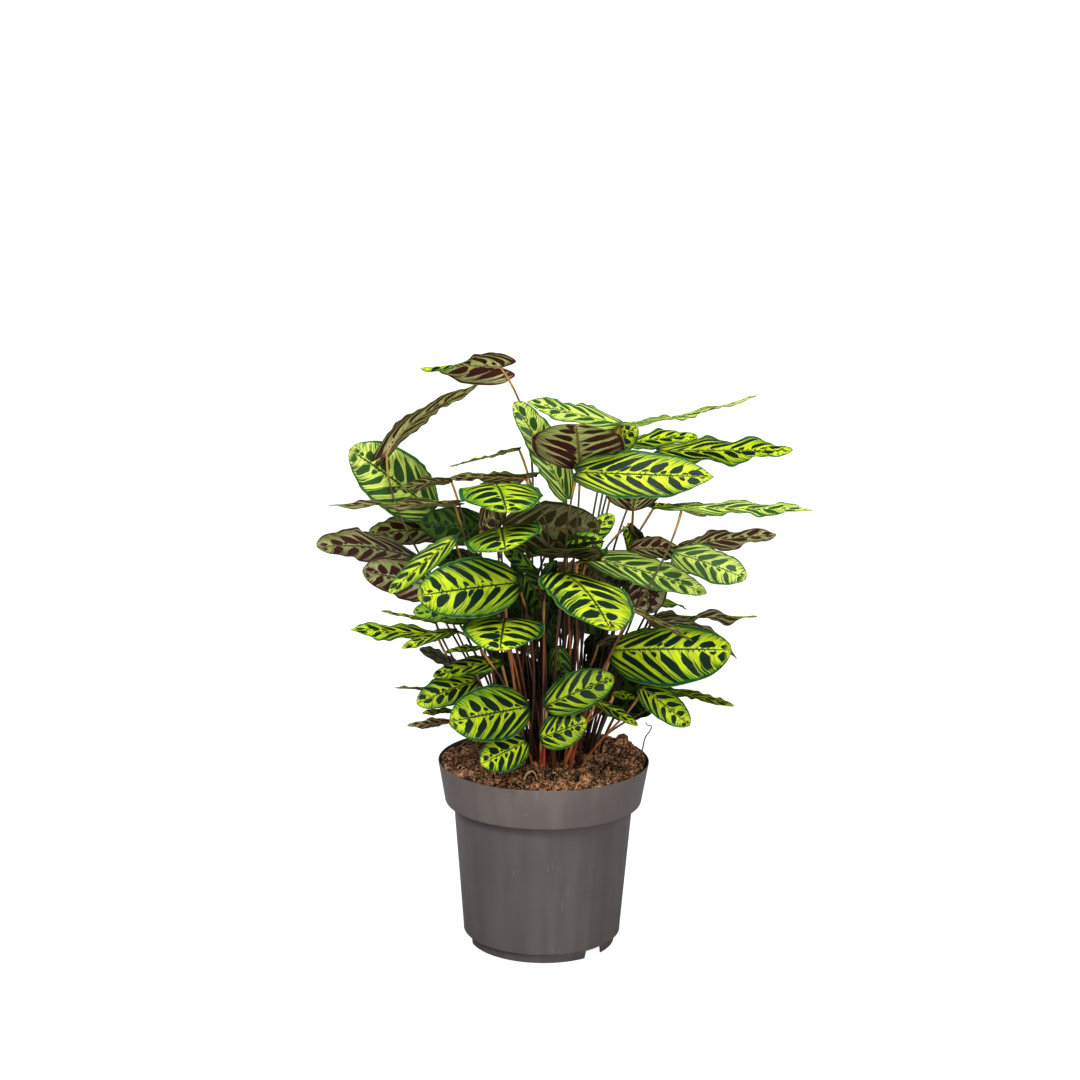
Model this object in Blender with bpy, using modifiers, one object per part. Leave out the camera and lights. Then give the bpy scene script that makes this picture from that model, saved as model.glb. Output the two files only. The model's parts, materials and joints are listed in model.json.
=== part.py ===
"""Potted calathea: a nursery pot, its soil, and leaves that each stand on a petiole.

Blender 4.5, metres, +Z up. The origin is on the pot's axis, on the surface that the
pot stands on. The front, from which the leaves were measured, looks along +Y.
"""
import math
from collections import namedtuple

import bmesh
import bpy
import numpy as np
from mathutils import Vector
from mathutils.bvhtree import BVHTree
from mathutils.kdtree import KDTree

# Pot, as radius and height of its corners
POT_HEIGHT = 0.2366
RIM_RADIUS = 0.1326
COLLAR_LOW_RADIUS = 0.1240
COLLAR_LOW = 0.1838
SHOULDER_ROUND = 0.0026
WALL_TOP_RADIUS = 0.1130
LEDGE_RADIUS = 0.0990
LEDGE_HEIGHT = 0.0135
FOOT_RADIUS = 0.0930
FOOT_LOW_RADIUS = 0.0922
POT_WALL = 0.0018
FLOOR_UNDERSIDE = 0.0110
FLOOR_THICKNESS = 0.0020
FLOOR_ROUND = 0.0036
STEP_RISE = 0.0029
TURN_STEPS = 36
FOOT_GAP_WIDTH = 0.030
FOOT_GAP_HEIGHT = 0.0098
FOOT_GAP_ANGLES = (45.0, 165.0, 280.0)
DRAIN_RADIUS = 0.0055
DRAIN_RING = 0.066
DRAIN_COUNT = 6

# Soil
SOIL_EDGE_HEIGHT = 0.2325
SOIL_CROWN = 0.0060
SOIL_LUMP = 0.0022
SOIL_RINGS = (0.121, 0.095, 0.062, 0.030)
SOIL_EDGE_GAP = 0.0016
SEAT_GAP = 0.0004
ROOT_DEPTH = 0.018
HOLE_SPARE = 0.0008

# Leaves
BLADE_THICKNESS = 0.0007
PETIOLE_RADIUS = 0.0019
PETIOLE_TOP_RADIUS = 0.0013
PETIOLE_POINTS = 7
JOINED_FROM = 0.015
JOINED_TO = 0.11
BRANCH_SCALE = 0.86
CLUMP_RADIUS = 0.068
FOOT_SPACING = 0.0075
FOOT_REACH = 0.055
FOOT_RISE = 0.004
FEET_TRIED = 40
BLADE_CLEARANCE = 0.0024
PETIOLE_CLEARANCE = 0.0016
SET_BACK_STEP = 0.004
BRANCH_HEIGHTS = (0.018, 0.030, 0.042, 0.060)
UPRIGHT_START = 0.9
START_PULL = 0.4
JOINT_PULL = 0.28
JOINT_SWAY = 0.4

# The search for the petioles' routes
FOOT_PRICE = 0.25
SWAY_PRICE = 0.5
KNEE_PRICE = 0.8
OWN_BLADE_PRICE = 12.0
OWN_BLADE_GAP = 0.004
SAMPLE_STEP = 0.004
LOWEST_ROUTE = 0.24
WIDEST_START = 0.12
ROUNDS = 3

# The eye that the leaves' places were read from: its distance, height and offset
EYE_DISTANCE = 2.897
EYE_HEIGHT = 1.134
EYE_ACROSS = -0.008

Leaf = namedtuple("Leaf", "base tip width roll twist arch fold wave heart lean taper")


def leaf(
    base, tip, width, roll, twist=0, arch=0.03, fold=6, wave=0.03, heart=0.04, lean=0, taper=0.2
):
    """One leaf. base and tip are (across, up, away) in cm: across and up are read on
    the upright plane through the pot's axis, and away moves the point back along the
    line of sight. width is in cm; roll turns the blade about its length, in degrees,
    plus bringing its upper face to the front. arch, wave and heart are shares of its
    size, lean moves the arch towards the base, and taper, 0 to 1, sharpens the tip."""
    return Leaf(base, tip, width, roll, twist, arch, fold, wave, heart, lean, taper)


# Each node holds one leaf, or two whose petioles share a sheath
SHOOTS = {
    "leaf_top": (
        leaf((-5.7, 73.2, 5), (-15.6, 73, 3), 6.2, -32, 88, 0.04, -8, 0.03, 0.2),
    ),
    "leaf_long_curl": (
        leaf((-19.9, 62.2, 4), (-5.9, 73, 5), 4.4, -30, 40, 0.06, 8, 0.05, 0.14, 1.2, 0.6),
    ),
    "leaf_bright_left": (
        leaf((-14, 55.4, 9), (-24.3, 62.9, 6), 8.6, 64, 0, 0.03, 8, 0.02),
        leaf((-11.7, 59.2, 5), (-18.8, 58, 4), 4, -30, 0, 0.02, 6, 0.05),
    ),
    "leaf_grey_left": (
        leaf((-11.2, 56.4, 0), (-27, 55.9, -2), 5, -22, 8, 0, 4, 0.07, 0.10, 0, 0.5),
    ),
    "leaf_dark_left": (
        leaf((-10.8, 53.2, 12), (-22, 52.3, 15), 6.4, -48, 0, 0.02),
    ),
    "leaf_maroon_left": (
        leaf((-15.8, 49.2, 8), (-28.4, 50.6, 18), 7.2, -48, 0, 0.06, 6, 0.04),
    ),
    "leaf_under_left": (
        leaf((-13, 45.4, 4), (-22.8, 47.6, 7), 6.6, -66, 0, 0.03),
    ),
    "leaf_narrow_left": (
        leaf((-11.3, 52, -3), (-19.5, 44.8, -7), 3, 38, 0, 0.02, 6, 0.03),
    ),
    "leaf_front_left": (
        leaf((-3.4, 46.4, -9), (-16, 44.5, -12), 7.6, 60, 0, 0.03, 6, 0.02),
    ),
    "leaf_below_front_left": (
        leaf((-6, 43, -4), (-16.5, 42.4, -7), 5.2, 30, 0, 0.03, 4, 0.03),
    ),
    "leaves_edge_left": (
        leaf((-13.3, 39.7, -3), (-24.3, 40.1, -6), 5, 10, 10, 0, 6, 0.06, 0.04, 0, 0.6),
        leaf((-13.5, 41.2, 0), (-20.5, 42.6, -1), 3, -5, 0, 0),
    ),
    "leaves_small_left": (
        leaf((-11, 40.2, -6), (-17.9, 37.8, -8), 2.6, 14),
        leaf((-8, 38, -7), (-12.6, 37.3, -8), 2.2, 5),
    ),
    "leaf_facing_low": (
        leaf((-5, 41.8, -8), (-5.6, 37.6, -17), 10, 0, 0, 0.07, 6, 0.03),
    ),
    "leaves_low_left": (
        leaf((-8.5, 33.8, -6), (-16, 30.6, -9), 4.4, 42, 0, 0.04, 6, 0.03),
        leaf((-12, 32.6, -2), (-18.8, 32.7, -3), 2.5, -30, 30, 0, 6, 0.08),
    ),
    "leaves_mid_left": (
        leaf((-5.3, 36.2, -6), (-14, 34.2, -7), 4.3, 15, 0, 0.04, 6, 0.04),
        leaf((-9, 36.4, -3), (-11.8, 36, -3.5), 1.6, -30),
    ),
    "leaves_tiny_left": (
        leaf((-11.5, 29.8, -6), (-15.3, 29.4, -7), 2, 5),
        leaf((-11.8, 28.4, -4), (-17.2, 27.8, -5), 2.7, -40, 0, 0),
    ),
    "leaf_low_front": (
        leaf((-2.1, 30.4, -10), (-11.9, 28.3, -14), 7, 60, 0, 0.03, 4, 0.02),
    ),
    "leaf_lowest": (
        leaf((-2.3, 25.9, -11), (-7.9, 22.8, -14.5), 4.8, 54, 0, 0.03, 4, 0.02),
    ),
    "leaf_drooping_front": (
        leaf((2.3, 47.7, -9), (8.2, 40.3, -19), 12, -10, 0, 0.07, 4, 0.02, 0.03, 0, 0.3),
    ),
    "leaf_long_middle": (
        leaf((5, 49.8, -4), (20, 45.3, -9), 5.4, 28, 0, 0.03, 8, 0.03, 0.04, 0, 0.3),
    ),
    "leaf_big_right": (
        leaf((8.2, 37.9, -7), (23.3, 38.1, -11), 8.8, 50, 0, 0.02, -20, 0.02),
    ),
    "leaves_behind_big": (
        leaf((13, 41.4, -1), (24, 36.9, -4), 5, -32, 0, 0.16, 4, 0.03),
        leaf((12.7, 42.2, 2), (26.4, 42.4, -1), 5.4, -24, 0, 0, 4, 0.12, 0.04, 0, 0.6),
    ),
    "leaf_narrow_right": (
        leaf((10.5, 43.3, -11), (18.4, 39.2, -14), 2.6, -35, 0, 0.02, 4, 0.03),
    ),
    "leaf_hanging_right": (
        leaf((12.1, 48.2, 0), (12.8, 42.6, 3), 5.2, 0, 0, 0.05, 6, 0.03),
    ),
    "leaves_maroon_right": (
        leaf((10.6, 50.9, 2), (16.8, 50.7, 0), 5.2, -45),
        leaf((10.2, 50.5, 3), (9.4, 53.8, 3), 1.8, 60, 0, 0, 50, 0.03, 0.02, 0, 0.8),
    ),
    "leaf_long_right": (
        leaf((16.4, 56.2, -8), (32.8, 56, -16), 5, 8, 0, 0, 6, 0.06, 0.12, 0.8, 0.6),
    ),
    "leaf_under_right": (
        leaf((16.6, 51.2, 2), (28.4, 52.9, 0), 5.4, -36, 0, 0.02, 4, 0.07, 0.04, 0, 0.4),
    ),
    "leaf_crinkled_right": (
        leaf((15.8, 50.4, -3), (24.8, 47.2, -7), 5.2, 36, 0, 0.04, 4, 0.06, 0.04, 0, 0),
    ),
    "leaves_low_right": (
        leaf((12, 33.2, -7), (18.3, 28.2, -11), 3.9, 42, 0, 0.04, 4, 0.04),
        leaf((15, 32.9, -3), (23.8, 30.8, -7), 2.8, 3, 0, 0.02),
    ),
    "leaf_centre_low": (
        leaf((0.2, 30.6, -11), (8.7, 34.4, -12), 5.2, 58, 0, 0.03, 6, 0.02),
    ),
    "leaf_centre_lowest": (
        leaf((-0.4, 26.3, -12), (5.4, 28.6, -13), 4.8, 55, 0, 0.03, 6, 0.02),
    ),
    "leaf_dark_centre": (
        leaf((-5.3, 53.2, 3), (6.7, 53.4, 4), 8, -70, 0, 0, 4, 0.02),
    ),
    "leaf_facing_middle": (
        leaf((-5.6, 53.4, -7), (-5, 50.4, -16), 9.4, 14, 0, 0.05, 4, 0.03),
    ),
    "leaf_facing_upper": (
        leaf((-6.3, 58.8, -5), (-4.9, 55.2, -14), 10.2, 0, 0, 0.06, 4, 0.03),
    ),
    "leaves_arched_upper": (
        leaf((-2.6, 59.6, -2), (-12, 59.5, -2), 5, -24, 0, 0.02, 4, 0.04),
        leaf((-3.4, 63.3, 6), (-12.1, 60.9, 5), 3, -12, 20, 0, 6, 0.06),
    ),
    "leaf_red_behind": (
        leaf((-8.3, 52.9, 1), (-5, 56.8, 4), 8, -66, 0, 0.03, 4, 0.02),
    ),
    "leaf_tall_folded": (
        leaf((2.5, 57, 5), (-4.2, 69, 4), 6, 50, 0, 0.02, 20, 0.03, 0.04, 0, 0),
    ),
    "leaf_rising_centre": (
        leaf((4, 60.8, 1), (3.4, 66.4, -7), 11.6, 0, 0, 0.05, 6, 0.02),
    ),
    "leaf_upper_right": (
        leaf((3.5, 60.4, -4), (20.5, 60, -8), 6.6, 50, 0, 0, 4, 0.04, 0.04, 0, 0.8),
    ),
    "leaf_rising_right": (
        leaf((10.6, 55.6, 2), (11.4, 59.2, -6), 8.4, 0, 0, 0.05, 20, 0.03),
    ),
    "leaves_top_right": (
        leaf((9, 66.4, 10), (-2.6, 69, 8), 4.9, 26, 0, 0, 6, 0.06),
        leaf((8.5, 66.4, 10), (25.5, 70.2, 3), 4, 4, 0, -0.03, 4, 0.07, 0.05, 0, 0.6),
    ),
    "leaves_upper_back": (
        leaf((6.8, 62.8, 11), (10.9, 66.3, 12), 4, 60),
        leaf((9, 63.8, 14), (18.4, 65, 13), 5, 16, 0, 0.04, 4, 0.05),
    ),
    "leaf_wavy_right": (
        leaf((13.4, 63.2, 12), (30.1, 63.5, 5), 5.8, 24, 0, 0, 4, 0.10, 0.04, 0, 0.5),
    ),
    "leaves_small_centre": (
        leaf((4.6, 51.6, 6), (8.3, 55.1, 7), 3, 50),
        leaf((2.5, 50.5, 2), (7, 52, 3), 4, 45),
    ),
    "leaf_above_drooping": (
        leaf((2.4, 49.6, -4), (2.7, 50.7, -14), 10, 0, 0, 0.03, 4, 0.06),
    ),
    "leaves_inner_left": (
        leaf((-0.9, 47.5, -6), (-5.3, 50.6, -6), 2.4, 40, 50),
        leaf((-2.6, 47.4, -2), (0, 42.8, -4), 4, 20),
    ),
    "leaves_inner_right": (
        leaf((1.5, 38.3, -3), (2.3, 32.8, -5), 3, 10),
        leaf((6.5, 38.6, -3), (10.5, 39.5, -2), 3, -40),
    ),
    "leaves_tiny_right": (
        leaf((6.4, 31.2, -8), (11.8, 28.1, -10), 2.4, 12),
        leaf((8.5, 32.4, -5), (11.4, 31.6, -6), 2, 10),
    ),
    "leaves_back_left": (
        leaf((-8, 44, 9), (-15, 42.5, 17), 7, 10, 0, 0.08),
        leaf((-8, 54, 12), (-15, 53.3, 18), 6.5, -10, 0, 0.06),
    ),
    "leaves_back_right": (
        leaf((9, 44, 8), (17, 43.5, 17), 7, 10, 0, 0.08),
        leaf((10, 50, 9), (18, 50.5, 17), 6, -10, 0, 0.06),
    ),
    "leaves_back_centre": (
        leaf((-3, 48, 8), (-6, 45, 19), 8, 0, 0, 0.08),
        leaf((-2.5, 60, 9), (-7, 57, 19), 7, 0, 0, 0.08),
    ),
    "leaves_back_upper": (
        leaf((3, 49, 12), (3, 47, 19), 7.5, 0, 0, 0.08),
        leaf((13, 56, 11), (19, 55, 18), 7, 0, 0, 0.08),
    ),
    "leaves_back_low": (
        leaf((-6, 35, 9), (-11, 32.5, 17), 6, 0, 0, 0.08),
        leaf((-1, 38, 9), (1, 36, 19), 8, 0, 0, 0.08),
    ),
    "leaves_back_lowest": (
        leaf((6, 35, 9), (11, 33, 17), 6, 0, 0, 0.08),
        leaf((2, 31, 10), (3, 29.5, 18), 5.5, 0, 0, 0.08),
    ),
}


def in_place(across, up, away):
    """The point, in metres, that is seen at across, up (cm) and lies away (cm) behind."""
    reach = 1 + away / 100 / EYE_DISTANCE
    return np.array((
        EYE_ACROSS + (across / 100 - EYE_ACROSS) * reach,
        away / 100,
        EYE_HEIGHT + (up / 100 - EYE_HEIGHT) * reach,
    ))


def unit(vector):
    return vector / np.linalg.norm(vector)


class Blade:
    """A leaf's blade, set back by some cm along the line of sight."""

    def __init__(self, leaf_data, set_back=0.0):
        self.data = leaf_data
        self.base = in_place(*leaf_data.base[:2], leaf_data.base[2] + set_back)
        self.tip = in_place(*leaf_data.tip[:2], leaf_data.tip[2] + set_back)
        self.length = np.linalg.norm(self.tip - self.base)
        self.width = leaf_data.width / 100
        self.along = (self.tip - self.base) / self.length
        self.up = unit(np.array((0, 0, 1)) - self.along[2] * self.along)
        side = 1 if self.along[0] >= 0 else -1
        self.toward = side * np.cross(self.along, self.up)

    def axes(self, t):
        """The directions across and out of the blade at t."""
        turn = np.radians(self.data.roll + self.data.twist * (t - 0.5))[..., None]
        across = np.cos(turn) * self.toward - np.sin(turn) * self.up
        out = np.cos(turn) * self.up + np.sin(turn) * self.toward
        return across, out

    def midrib(self, t):
        _, out = self.axes(np.full_like(t, 0.5))
        rise = 4 * self.data.arch * self.length * t * (1 - t)
        rise = rise * (1 + self.data.lean * (1 - 2 * t))
        return self.base + self.along * (self.length * t)[..., None] + out * rise[..., None]

    def half_width(self, t):
        reach = 0.06 + 0.94 * t**0.94
        oval = np.clip(4 * reach * (1 - reach), 0, 1)
        return self.width / 2 * oval ** (0.5 + 0.5 * self.data.taper * t * t)

    def points(self, s, t):
        """Points of the blade at s, -1 to 1 across it, and t, 0 to 1 along it."""
        data = self.data
        across, out = self.axes(t)
        half = self.half_width(t)
        edge = np.abs(s)
        fold = math.radians(data.fold)
        crests = 1.5 + self.length / 0.045
        phase = np.where(s > 0, 0.0, 1.9) + 9 * self.base[0] + 40 * self.base[2]
        ripple = np.sin(2 * np.pi * crests * t / 2 + phase) * np.sin(np.pi * t) ** 0.5
        lift = half * edge * math.sin(fold) - 0.10 * half * edge**2
        lift = lift + data.wave * self.width * edge**2 * ripple
        back = (1 - t) ** 3 * self.length * (0.07 * s * s - data.heart * np.sin(2.2 * edge))
        return (
            self.midrib(t)
            + across * (half * s * math.cos(fold))[..., None]
            + out * lift[..., None]
            + self.along * back[..., None]
        )

    def grid(self, cells_across, cells_along):
        s, t = np.meshgrid(
            np.linspace(-1, 1, cells_across + 1), np.linspace(0, 1, cells_along + 1)
        )
        return self.points(s.ravel(), t.ravel())

    def cells(self):
        """How many cells the blade's sheet has across and along."""
        return (4 if self.width > 0.042 else 2), max(3, min(7, round(self.length / 0.023)))


def grid_faces(cells_across, cells_along):
    """Triangles of a grid whose rows of points run across."""
    row = cells_across + 1
    faces = []
    for j in range(cells_along):
        for i in range(cells_across):
            a = j * row + i
            faces.append((a, a + 1, a + row + 1))
            faces.append((a, a + row + 1, a + row))
    return faces


def tree_of(blades):
    """One tree of every blade's triangles."""
    points, faces = [], []
    for blade in blades:
        cells = blade.cells()
        start = len(points)
        points += [Vector(p) for p in blade.grid(*cells)]
        faces += [tuple(start + k for k in f) for f in grid_faces(*cells)]
    return BVHTree.FromPolygons(points, faces)


def nearest(tree, points, reach):
    """The least distance from the points to the tree's faces, up to reach."""
    least = reach
    for p in points:
        found = tree.find_nearest(Vector(p), reach)
        if found[0] is not None:
            least = min(least, found[3])
    return least


def probes(blade):
    """Points spread over the blade's sheet, and under its midrib where the petiole ends."""
    cells = blade.cells()
    points = blade.grid(*cells)
    corners = points[np.array(grid_faces(*cells))]
    middles = (corners + np.roll(corners, 1, axis=1)) / 2
    t = np.linspace(0, JOINED_TO, 6)
    under = blade.midrib(t) - blade.axes(t)[1] * 2 * PETIOLE_TOP_RADIUS
    return np.concatenate((points, middles.reshape(-1, 3), corners.mean(axis=1), under))


def settle_blades():
    """Sets each blade, front ones first, back along the line of sight until it clears
    the blades before it. Returns them by node name and number."""
    order = [
        (leaf_data.base[2] + leaf_data.tip[2], name, index)
        for name, leaves in SHOOTS.items()
        for index, leaf_data in enumerate(leaves)
    ]
    settled = {}
    placed_probes = np.empty((0, 3))
    for _, name, index in sorted(order):
        others = tree_of(settled.values())
        set_back = 0.0
        while True:
            blade = Blade(SHOOTS[name][index], set_back)
            own = probes(blade)
            if not settled or stands_clear(blade, own, others, placed_probes):
                break
            set_back += SET_BACK_STEP * 100
        placed_probes = np.concatenate((placed_probes, own))
        settled[name, index] = blade
    return settled


def stands_clear(blade, own, others, placed_probes):
    """Whether a blade with the probes own keeps its distance from the placed blades."""
    tree = tree_of([blade])
    if tree.overlap(others):
        return False
    low, high = own.min(axis=0) - BLADE_CLEARANCE, own.max(axis=0) + BLADE_CLEARANCE
    close = placed_probes[np.all((placed_probes > low) & (placed_probes < high), axis=1)]
    reach = 2 * BLADE_CLEARANCE
    return (
        nearest(others, own, reach) > BLADE_CLEARANCE
        and nearest(tree, close, reach) > BLADE_CLEARANCE
        and nearest(others, blade.grid(8, 16), reach) > 0.5 * BLADE_CLEARANCE
    )


def soil_height(x, y):
    """Height of the soil's surface: a low crown with lumps."""
    radius = np.hypot(x, y)
    crown = SOIL_CROWN * (1 - (radius / RIM_RADIUS) ** 2)
    lumps = np.sin(61 * x + 17 * y) * np.cos(53 * y - 11 * x) + 0.6 * np.sin(97 * y + 31 * x + 1)
    return SOIL_EDGE_HEIGHT + crown + SOIL_LUMP * lumps


def bezier(controls, t):
    a, b, c, d = controls
    t = t[:, None]
    return (1 - t) ** 3 * a + 3 * (1 - t) ** 2 * t * b + 3 * (1 - t) * t * t * c + t**3 * d


def petiole_end(blade):
    """Points where the petiole meets the blade: its joint, and inside the midrib."""
    out = blade.axes(np.array(0.1))[1]
    drop = PETIOLE_TOP_RADIUS * 0.9
    joint = blade.midrib(np.array(JOINED_FROM)) - out * drop
    inner = blade.midrib(np.array(JOINED_TO)) - out * drop * 0.8
    return joint, inner


def petiole_path(start, blade, sway, knee):
    """A petiole's points from start, on the soil or on another petiole, to the joint."""
    joint, _ = petiole_end(blade)
    rise = np.linalg.norm(joint - start)
    leave = unit(joint - start + np.array((0, 0, UPRIGHT_START * rise)))
    arrive = unit(np.array((0, 0, 1.0)) + knee * blade.along)
    controls = (
        start,
        start + leave * START_PULL * rise + sway,
        joint - arrive * JOINT_PULL * rise + sway * JOINT_SWAY,
        joint,
    )
    t = np.linspace(0, 1, PETIOLE_POINTS) ** 0.85
    return bezier(controls, t)


def samples(path):
    """Points about a step apart along the straight runs between the path's points."""
    found = []
    for a, b in zip(path, path[1:]):
        count = max(1, int(np.linalg.norm(b - a) / SAMPLE_STEP))
        found += [a + (b - a) * k / count for k in range(count)]
    found.append(path[-1])
    return np.array(found)


def foot_spots():
    """Places on the soil for petioles, on a triangular lattice."""
    spots = []
    rows = int(CLUMP_RADIUS / FOOT_SPACING) + 1
    for j in range(-rows, rows + 1):
        for i in range(-rows - 2, rows + 3):
            x = (i + 0.5 * (j % 2)) * FOOT_SPACING
            y = j * FOOT_SPACING * math.sqrt(0.75)
            if math.hypot(x, y) < CLUMP_RADIUS:
                spots.append((x, y))
    return spots


SWAYS = [np.zeros(3)] + [
    np.array((math.cos(a), math.sin(a), 0)) * size
    for size in (0.012, 0.025, 0.04, 0.06)
    for a in np.radians((0, 60, 120, 180, 240, 300))
]
KNEES = (0.35, 0.8, 0.1, 1.6)


def grow_petioles(blades):
    """Finds for each leaf a foot and a route that clear all blades and the petioles
    grown before it. The tallest come first, and the second ones of a sheath last.
    Where one finds no route, all are grown again with that one ahead of the rest."""

    def by_height(key):
        return key[1], -blades[key].base[2]

    order = sorted(blades, key=by_height)
    for _ in range(ROUNDS):
        paths, missed = grown_in(order, blades)
        if not missed:
            return paths
        ahead = [key for key in order if key in missed or (key[0], 1) in missed]
        order = ahead + [key for key in order if key not in ahead]
    raise RuntimeError(f"no clear route for {missed}")


def grown_in(order, blades):
    """The petioles' paths when grown in this order, and the leaves left without one."""
    free = foot_spots()
    taken, paths, missed = [], {}, []
    for key in order:
        blade = blades[key]
        if key[1] == 0:
            wanted = blade.base[:2] * min(0.5, FOOT_REACH / math.hypot(*blade.base[:2]))
            free.sort(key=lambda spot: math.dist(spot, wanted))
            starts = [(x, y, soil_height(x, y) + FOOT_RISE) for x, y in free[:FEET_TRIED]]
        else:
            own = samples(paths[key[0], 0])
            starts = [own[int(height / SAMPLE_STEP)] for height in BRANCH_HEIGHTS]
        others = [other for k, other in blades.items() if k[0] != key[0]]
        path = best_route(starts, blade, others, [p for p, owner in taken if owner != key[0]])
        if path is None:
            missed.append(key)
            path = petiole_path(starts[0], blade, SWAYS[0], KNEES[0])
        paths[key] = path
        taken += [(p, key[0]) for p in samples(path)]
        free = [spot for spot in free if math.dist(spot, path[0][:2]) > 0.5 * FOOT_SPACING]
    return paths, missed


def best_route(starts, blade, others, taken):
    """The cheapest path to the blade that clears the other blades and the taken points."""
    tree, own_tree = tree_of(others), tree_of([blade])
    near = KDTree(len(taken))
    for number, p in enumerate(taken):
        near.insert(Vector(p), number)
    near.balance()
    routes = sorted(
        (FOOT_PRICE * a + SWAY_PRICE * b + KNEE_PRICE * c, a, b, c)
        for a in range(len(starts))
        for b in range(len(SWAYS))
        for c in range(len(KNEES))
    )
    best_cost, best = math.inf, None
    for cost, a, b, c in routes:
        if cost >= best_cost:
            break
        path = petiole_path(starts[a], blade, SWAYS[b], KNEES[c])
        run = samples(path)
        if run[5:, 2].min() < LOWEST_ROUTE or math.hypot(*run[8][:2]) > WIDEST_START:
            continue
        if clears(run[2:], near, tree):
            if nearest(own_tree, run[:-8], 2 * OWN_BLADE_GAP) < OWN_BLADE_GAP:
                cost += OWN_BLADE_PRICE
            if cost < best_cost:
                best_cost, best = cost, path
    return best


def clears(run, near, tree):
    """Whether a run of points clears the blades and the other nodes' petioles."""
    apart = 2 * PETIOLE_RADIUS + PETIOLE_CLEARANCE
    off_blade = PETIOLE_RADIUS + PETIOLE_CLEARANCE
    for p in run:
        place = Vector(p)
        if tree.find_nearest(place, off_blade)[0] is not None:
            return False
        if near.find_range(place, apart):
            return False
    return True


def material(name, colour, roughness):
    made = bpy.data.materials.new(name)
    made.use_nodes = True
    shader = made.node_tree.nodes["Principled BSDF"]
    shader.inputs["Base Color"].default_value = (*colour, 1)
    shader.inputs["Roughness"].default_value = roughness
    shader.inputs["Metallic"].default_value = 0.0
    return made


def collection(name):
    made = bpy.data.collections.new(name)
    bpy.context.scene.collection.children.link(made)
    return made


def add_object(name, mesh, where):
    made = bpy.data.objects.new(name, mesh)
    where.objects.link(made)
    return made


def hide(guide):
    guide.hide_render = True
    guide.display_type = "WIRE"


def turned(name, profile, where):
    """A solid turned from (radius, height) points by a Screw modifier."""
    mesh = bpy.data.meshes.new(name)
    points = [(r, 0, z) for r, z in profile]
    mesh.from_pydata(points, [(i, i + 1) for i in range(len(points) - 1)], [])
    made = add_object(name, mesh, where)
    screw = made.modifiers.new("Turn", "SCREW")
    screw.steps = TURN_STEPS
    screw.render_steps = TURN_STEPS
    screw.use_merge_vertices = True
    screw.merge_threshold = 0.0001
    screw.use_smooth_shade = False
    return made


def applied(source, name, where, weld=0.0):
    """A new object with the mesh of source as evaluated. source is removed."""
    bpy.context.view_layer.update()
    graph = bpy.context.evaluated_depsgraph_get()
    mesh = bpy.data.meshes.new_from_object(source.evaluated_get(graph))
    mesh.name = name
    if weld:
        body = bmesh.new()
        body.from_mesh(mesh)
        bmesh.ops.remove_doubles(body, verts=body.verts, dist=weld)
        body.to_mesh(mesh)
        body.free()
    made = add_object(name + "_applied", mesh, where)
    made.matrix_world = source.matrix_world.copy()
    bpy.data.objects.remove(source)
    made.name = name
    return made


def boolean(target, operation, others):
    cut = target.modifiers.new("Cut", "BOOLEAN")
    cut.operation = operation
    cut.solver = "EXACT"
    cut.operand_type = "COLLECTION"
    cut.collection = others


def empty_out(group):
    for item in list(group.objects):
        bpy.data.objects.remove(item)
    bpy.data.collections.remove(group)


def make_pot(where):
    arc = [
        (
            COLLAR_LOW_RADIUS - SHOULDER_ROUND + SHOULDER_ROUND * math.cos(a),
            COLLAR_LOW + SHOULDER_ROUND - SHOULDER_ROUND * math.sin(a),
        )
        for a in np.radians((0, 45, 90))
    ]
    floor_top = FLOOR_UNDERSIDE + FLOOR_THICKNESS
    profile = [
        (0, floor_top),
        (LEDGE_RADIUS - POT_WALL - FLOOR_ROUND, floor_top),
        (LEDGE_RADIUS - POT_WALL, LEDGE_HEIGHT + FLOOR_ROUND),
        (WALL_TOP_RADIUS - POT_WALL, COLLAR_LOW + POT_WALL),
        (COLLAR_LOW_RADIUS - POT_WALL, COLLAR_LOW + STEP_RISE),
        (RIM_RADIUS - POT_WALL, POT_HEIGHT),
        (RIM_RADIUS, POT_HEIGHT),
        *arc,
        (WALL_TOP_RADIUS, COLLAR_LOW),
        (LEDGE_RADIUS, LEDGE_HEIGHT),
        (FOOT_RADIUS, LEDGE_HEIGHT - POT_WALL),
        (FOOT_LOW_RADIUS, 0),
        (FOOT_LOW_RADIUS - POT_WALL, 0),
        (FOOT_RADIUS - 1.2 * POT_WALL, FLOOR_UNDERSIDE),
        (0, FLOOR_UNDERSIDE),
    ]
    pot = turned("pot", profile, where)
    cutters = collection("pot cutters")
    for angle in FOOT_GAP_ANGLES:
        a = math.radians(angle - 90)
        place = (FOOT_RADIUS * math.cos(a), FOOT_RADIUS * math.sin(a))
        bpy.ops.mesh.primitive_cube_add(size=1, location=(*place, 0.5 * FOOT_GAP_HEIGHT - 0.001))
        gap = bpy.context.object
        gap.scale = (FOOT_GAP_WIDTH, FOOT_GAP_WIDTH, FOOT_GAP_HEIGHT + 0.002)
        gap.rotation_euler = (0, 0, a)
        move_to(gap, cutters)
    for k in range(DRAIN_COUNT):
        a = 2 * math.pi * (k + 0.5) / DRAIN_COUNT
        place = (DRAIN_RING * math.cos(a), DRAIN_RING * math.sin(a), FLOOR_UNDERSIDE)
        bpy.ops.mesh.primitive_cylinder_add(
            vertices=10, radius=DRAIN_RADIUS, depth=0.02, location=place
        )
        move_to(bpy.context.object, cutters)
    boolean(pot, "DIFFERENCE", cutters)
    pot = applied(pot, "pot", where)
    empty_out(cutters)
    pot.data.materials.clear()
    pot.data.materials.append(material("pot plastic", (0.12, 0.105, 0.098), 0.45))
    return pot


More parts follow.
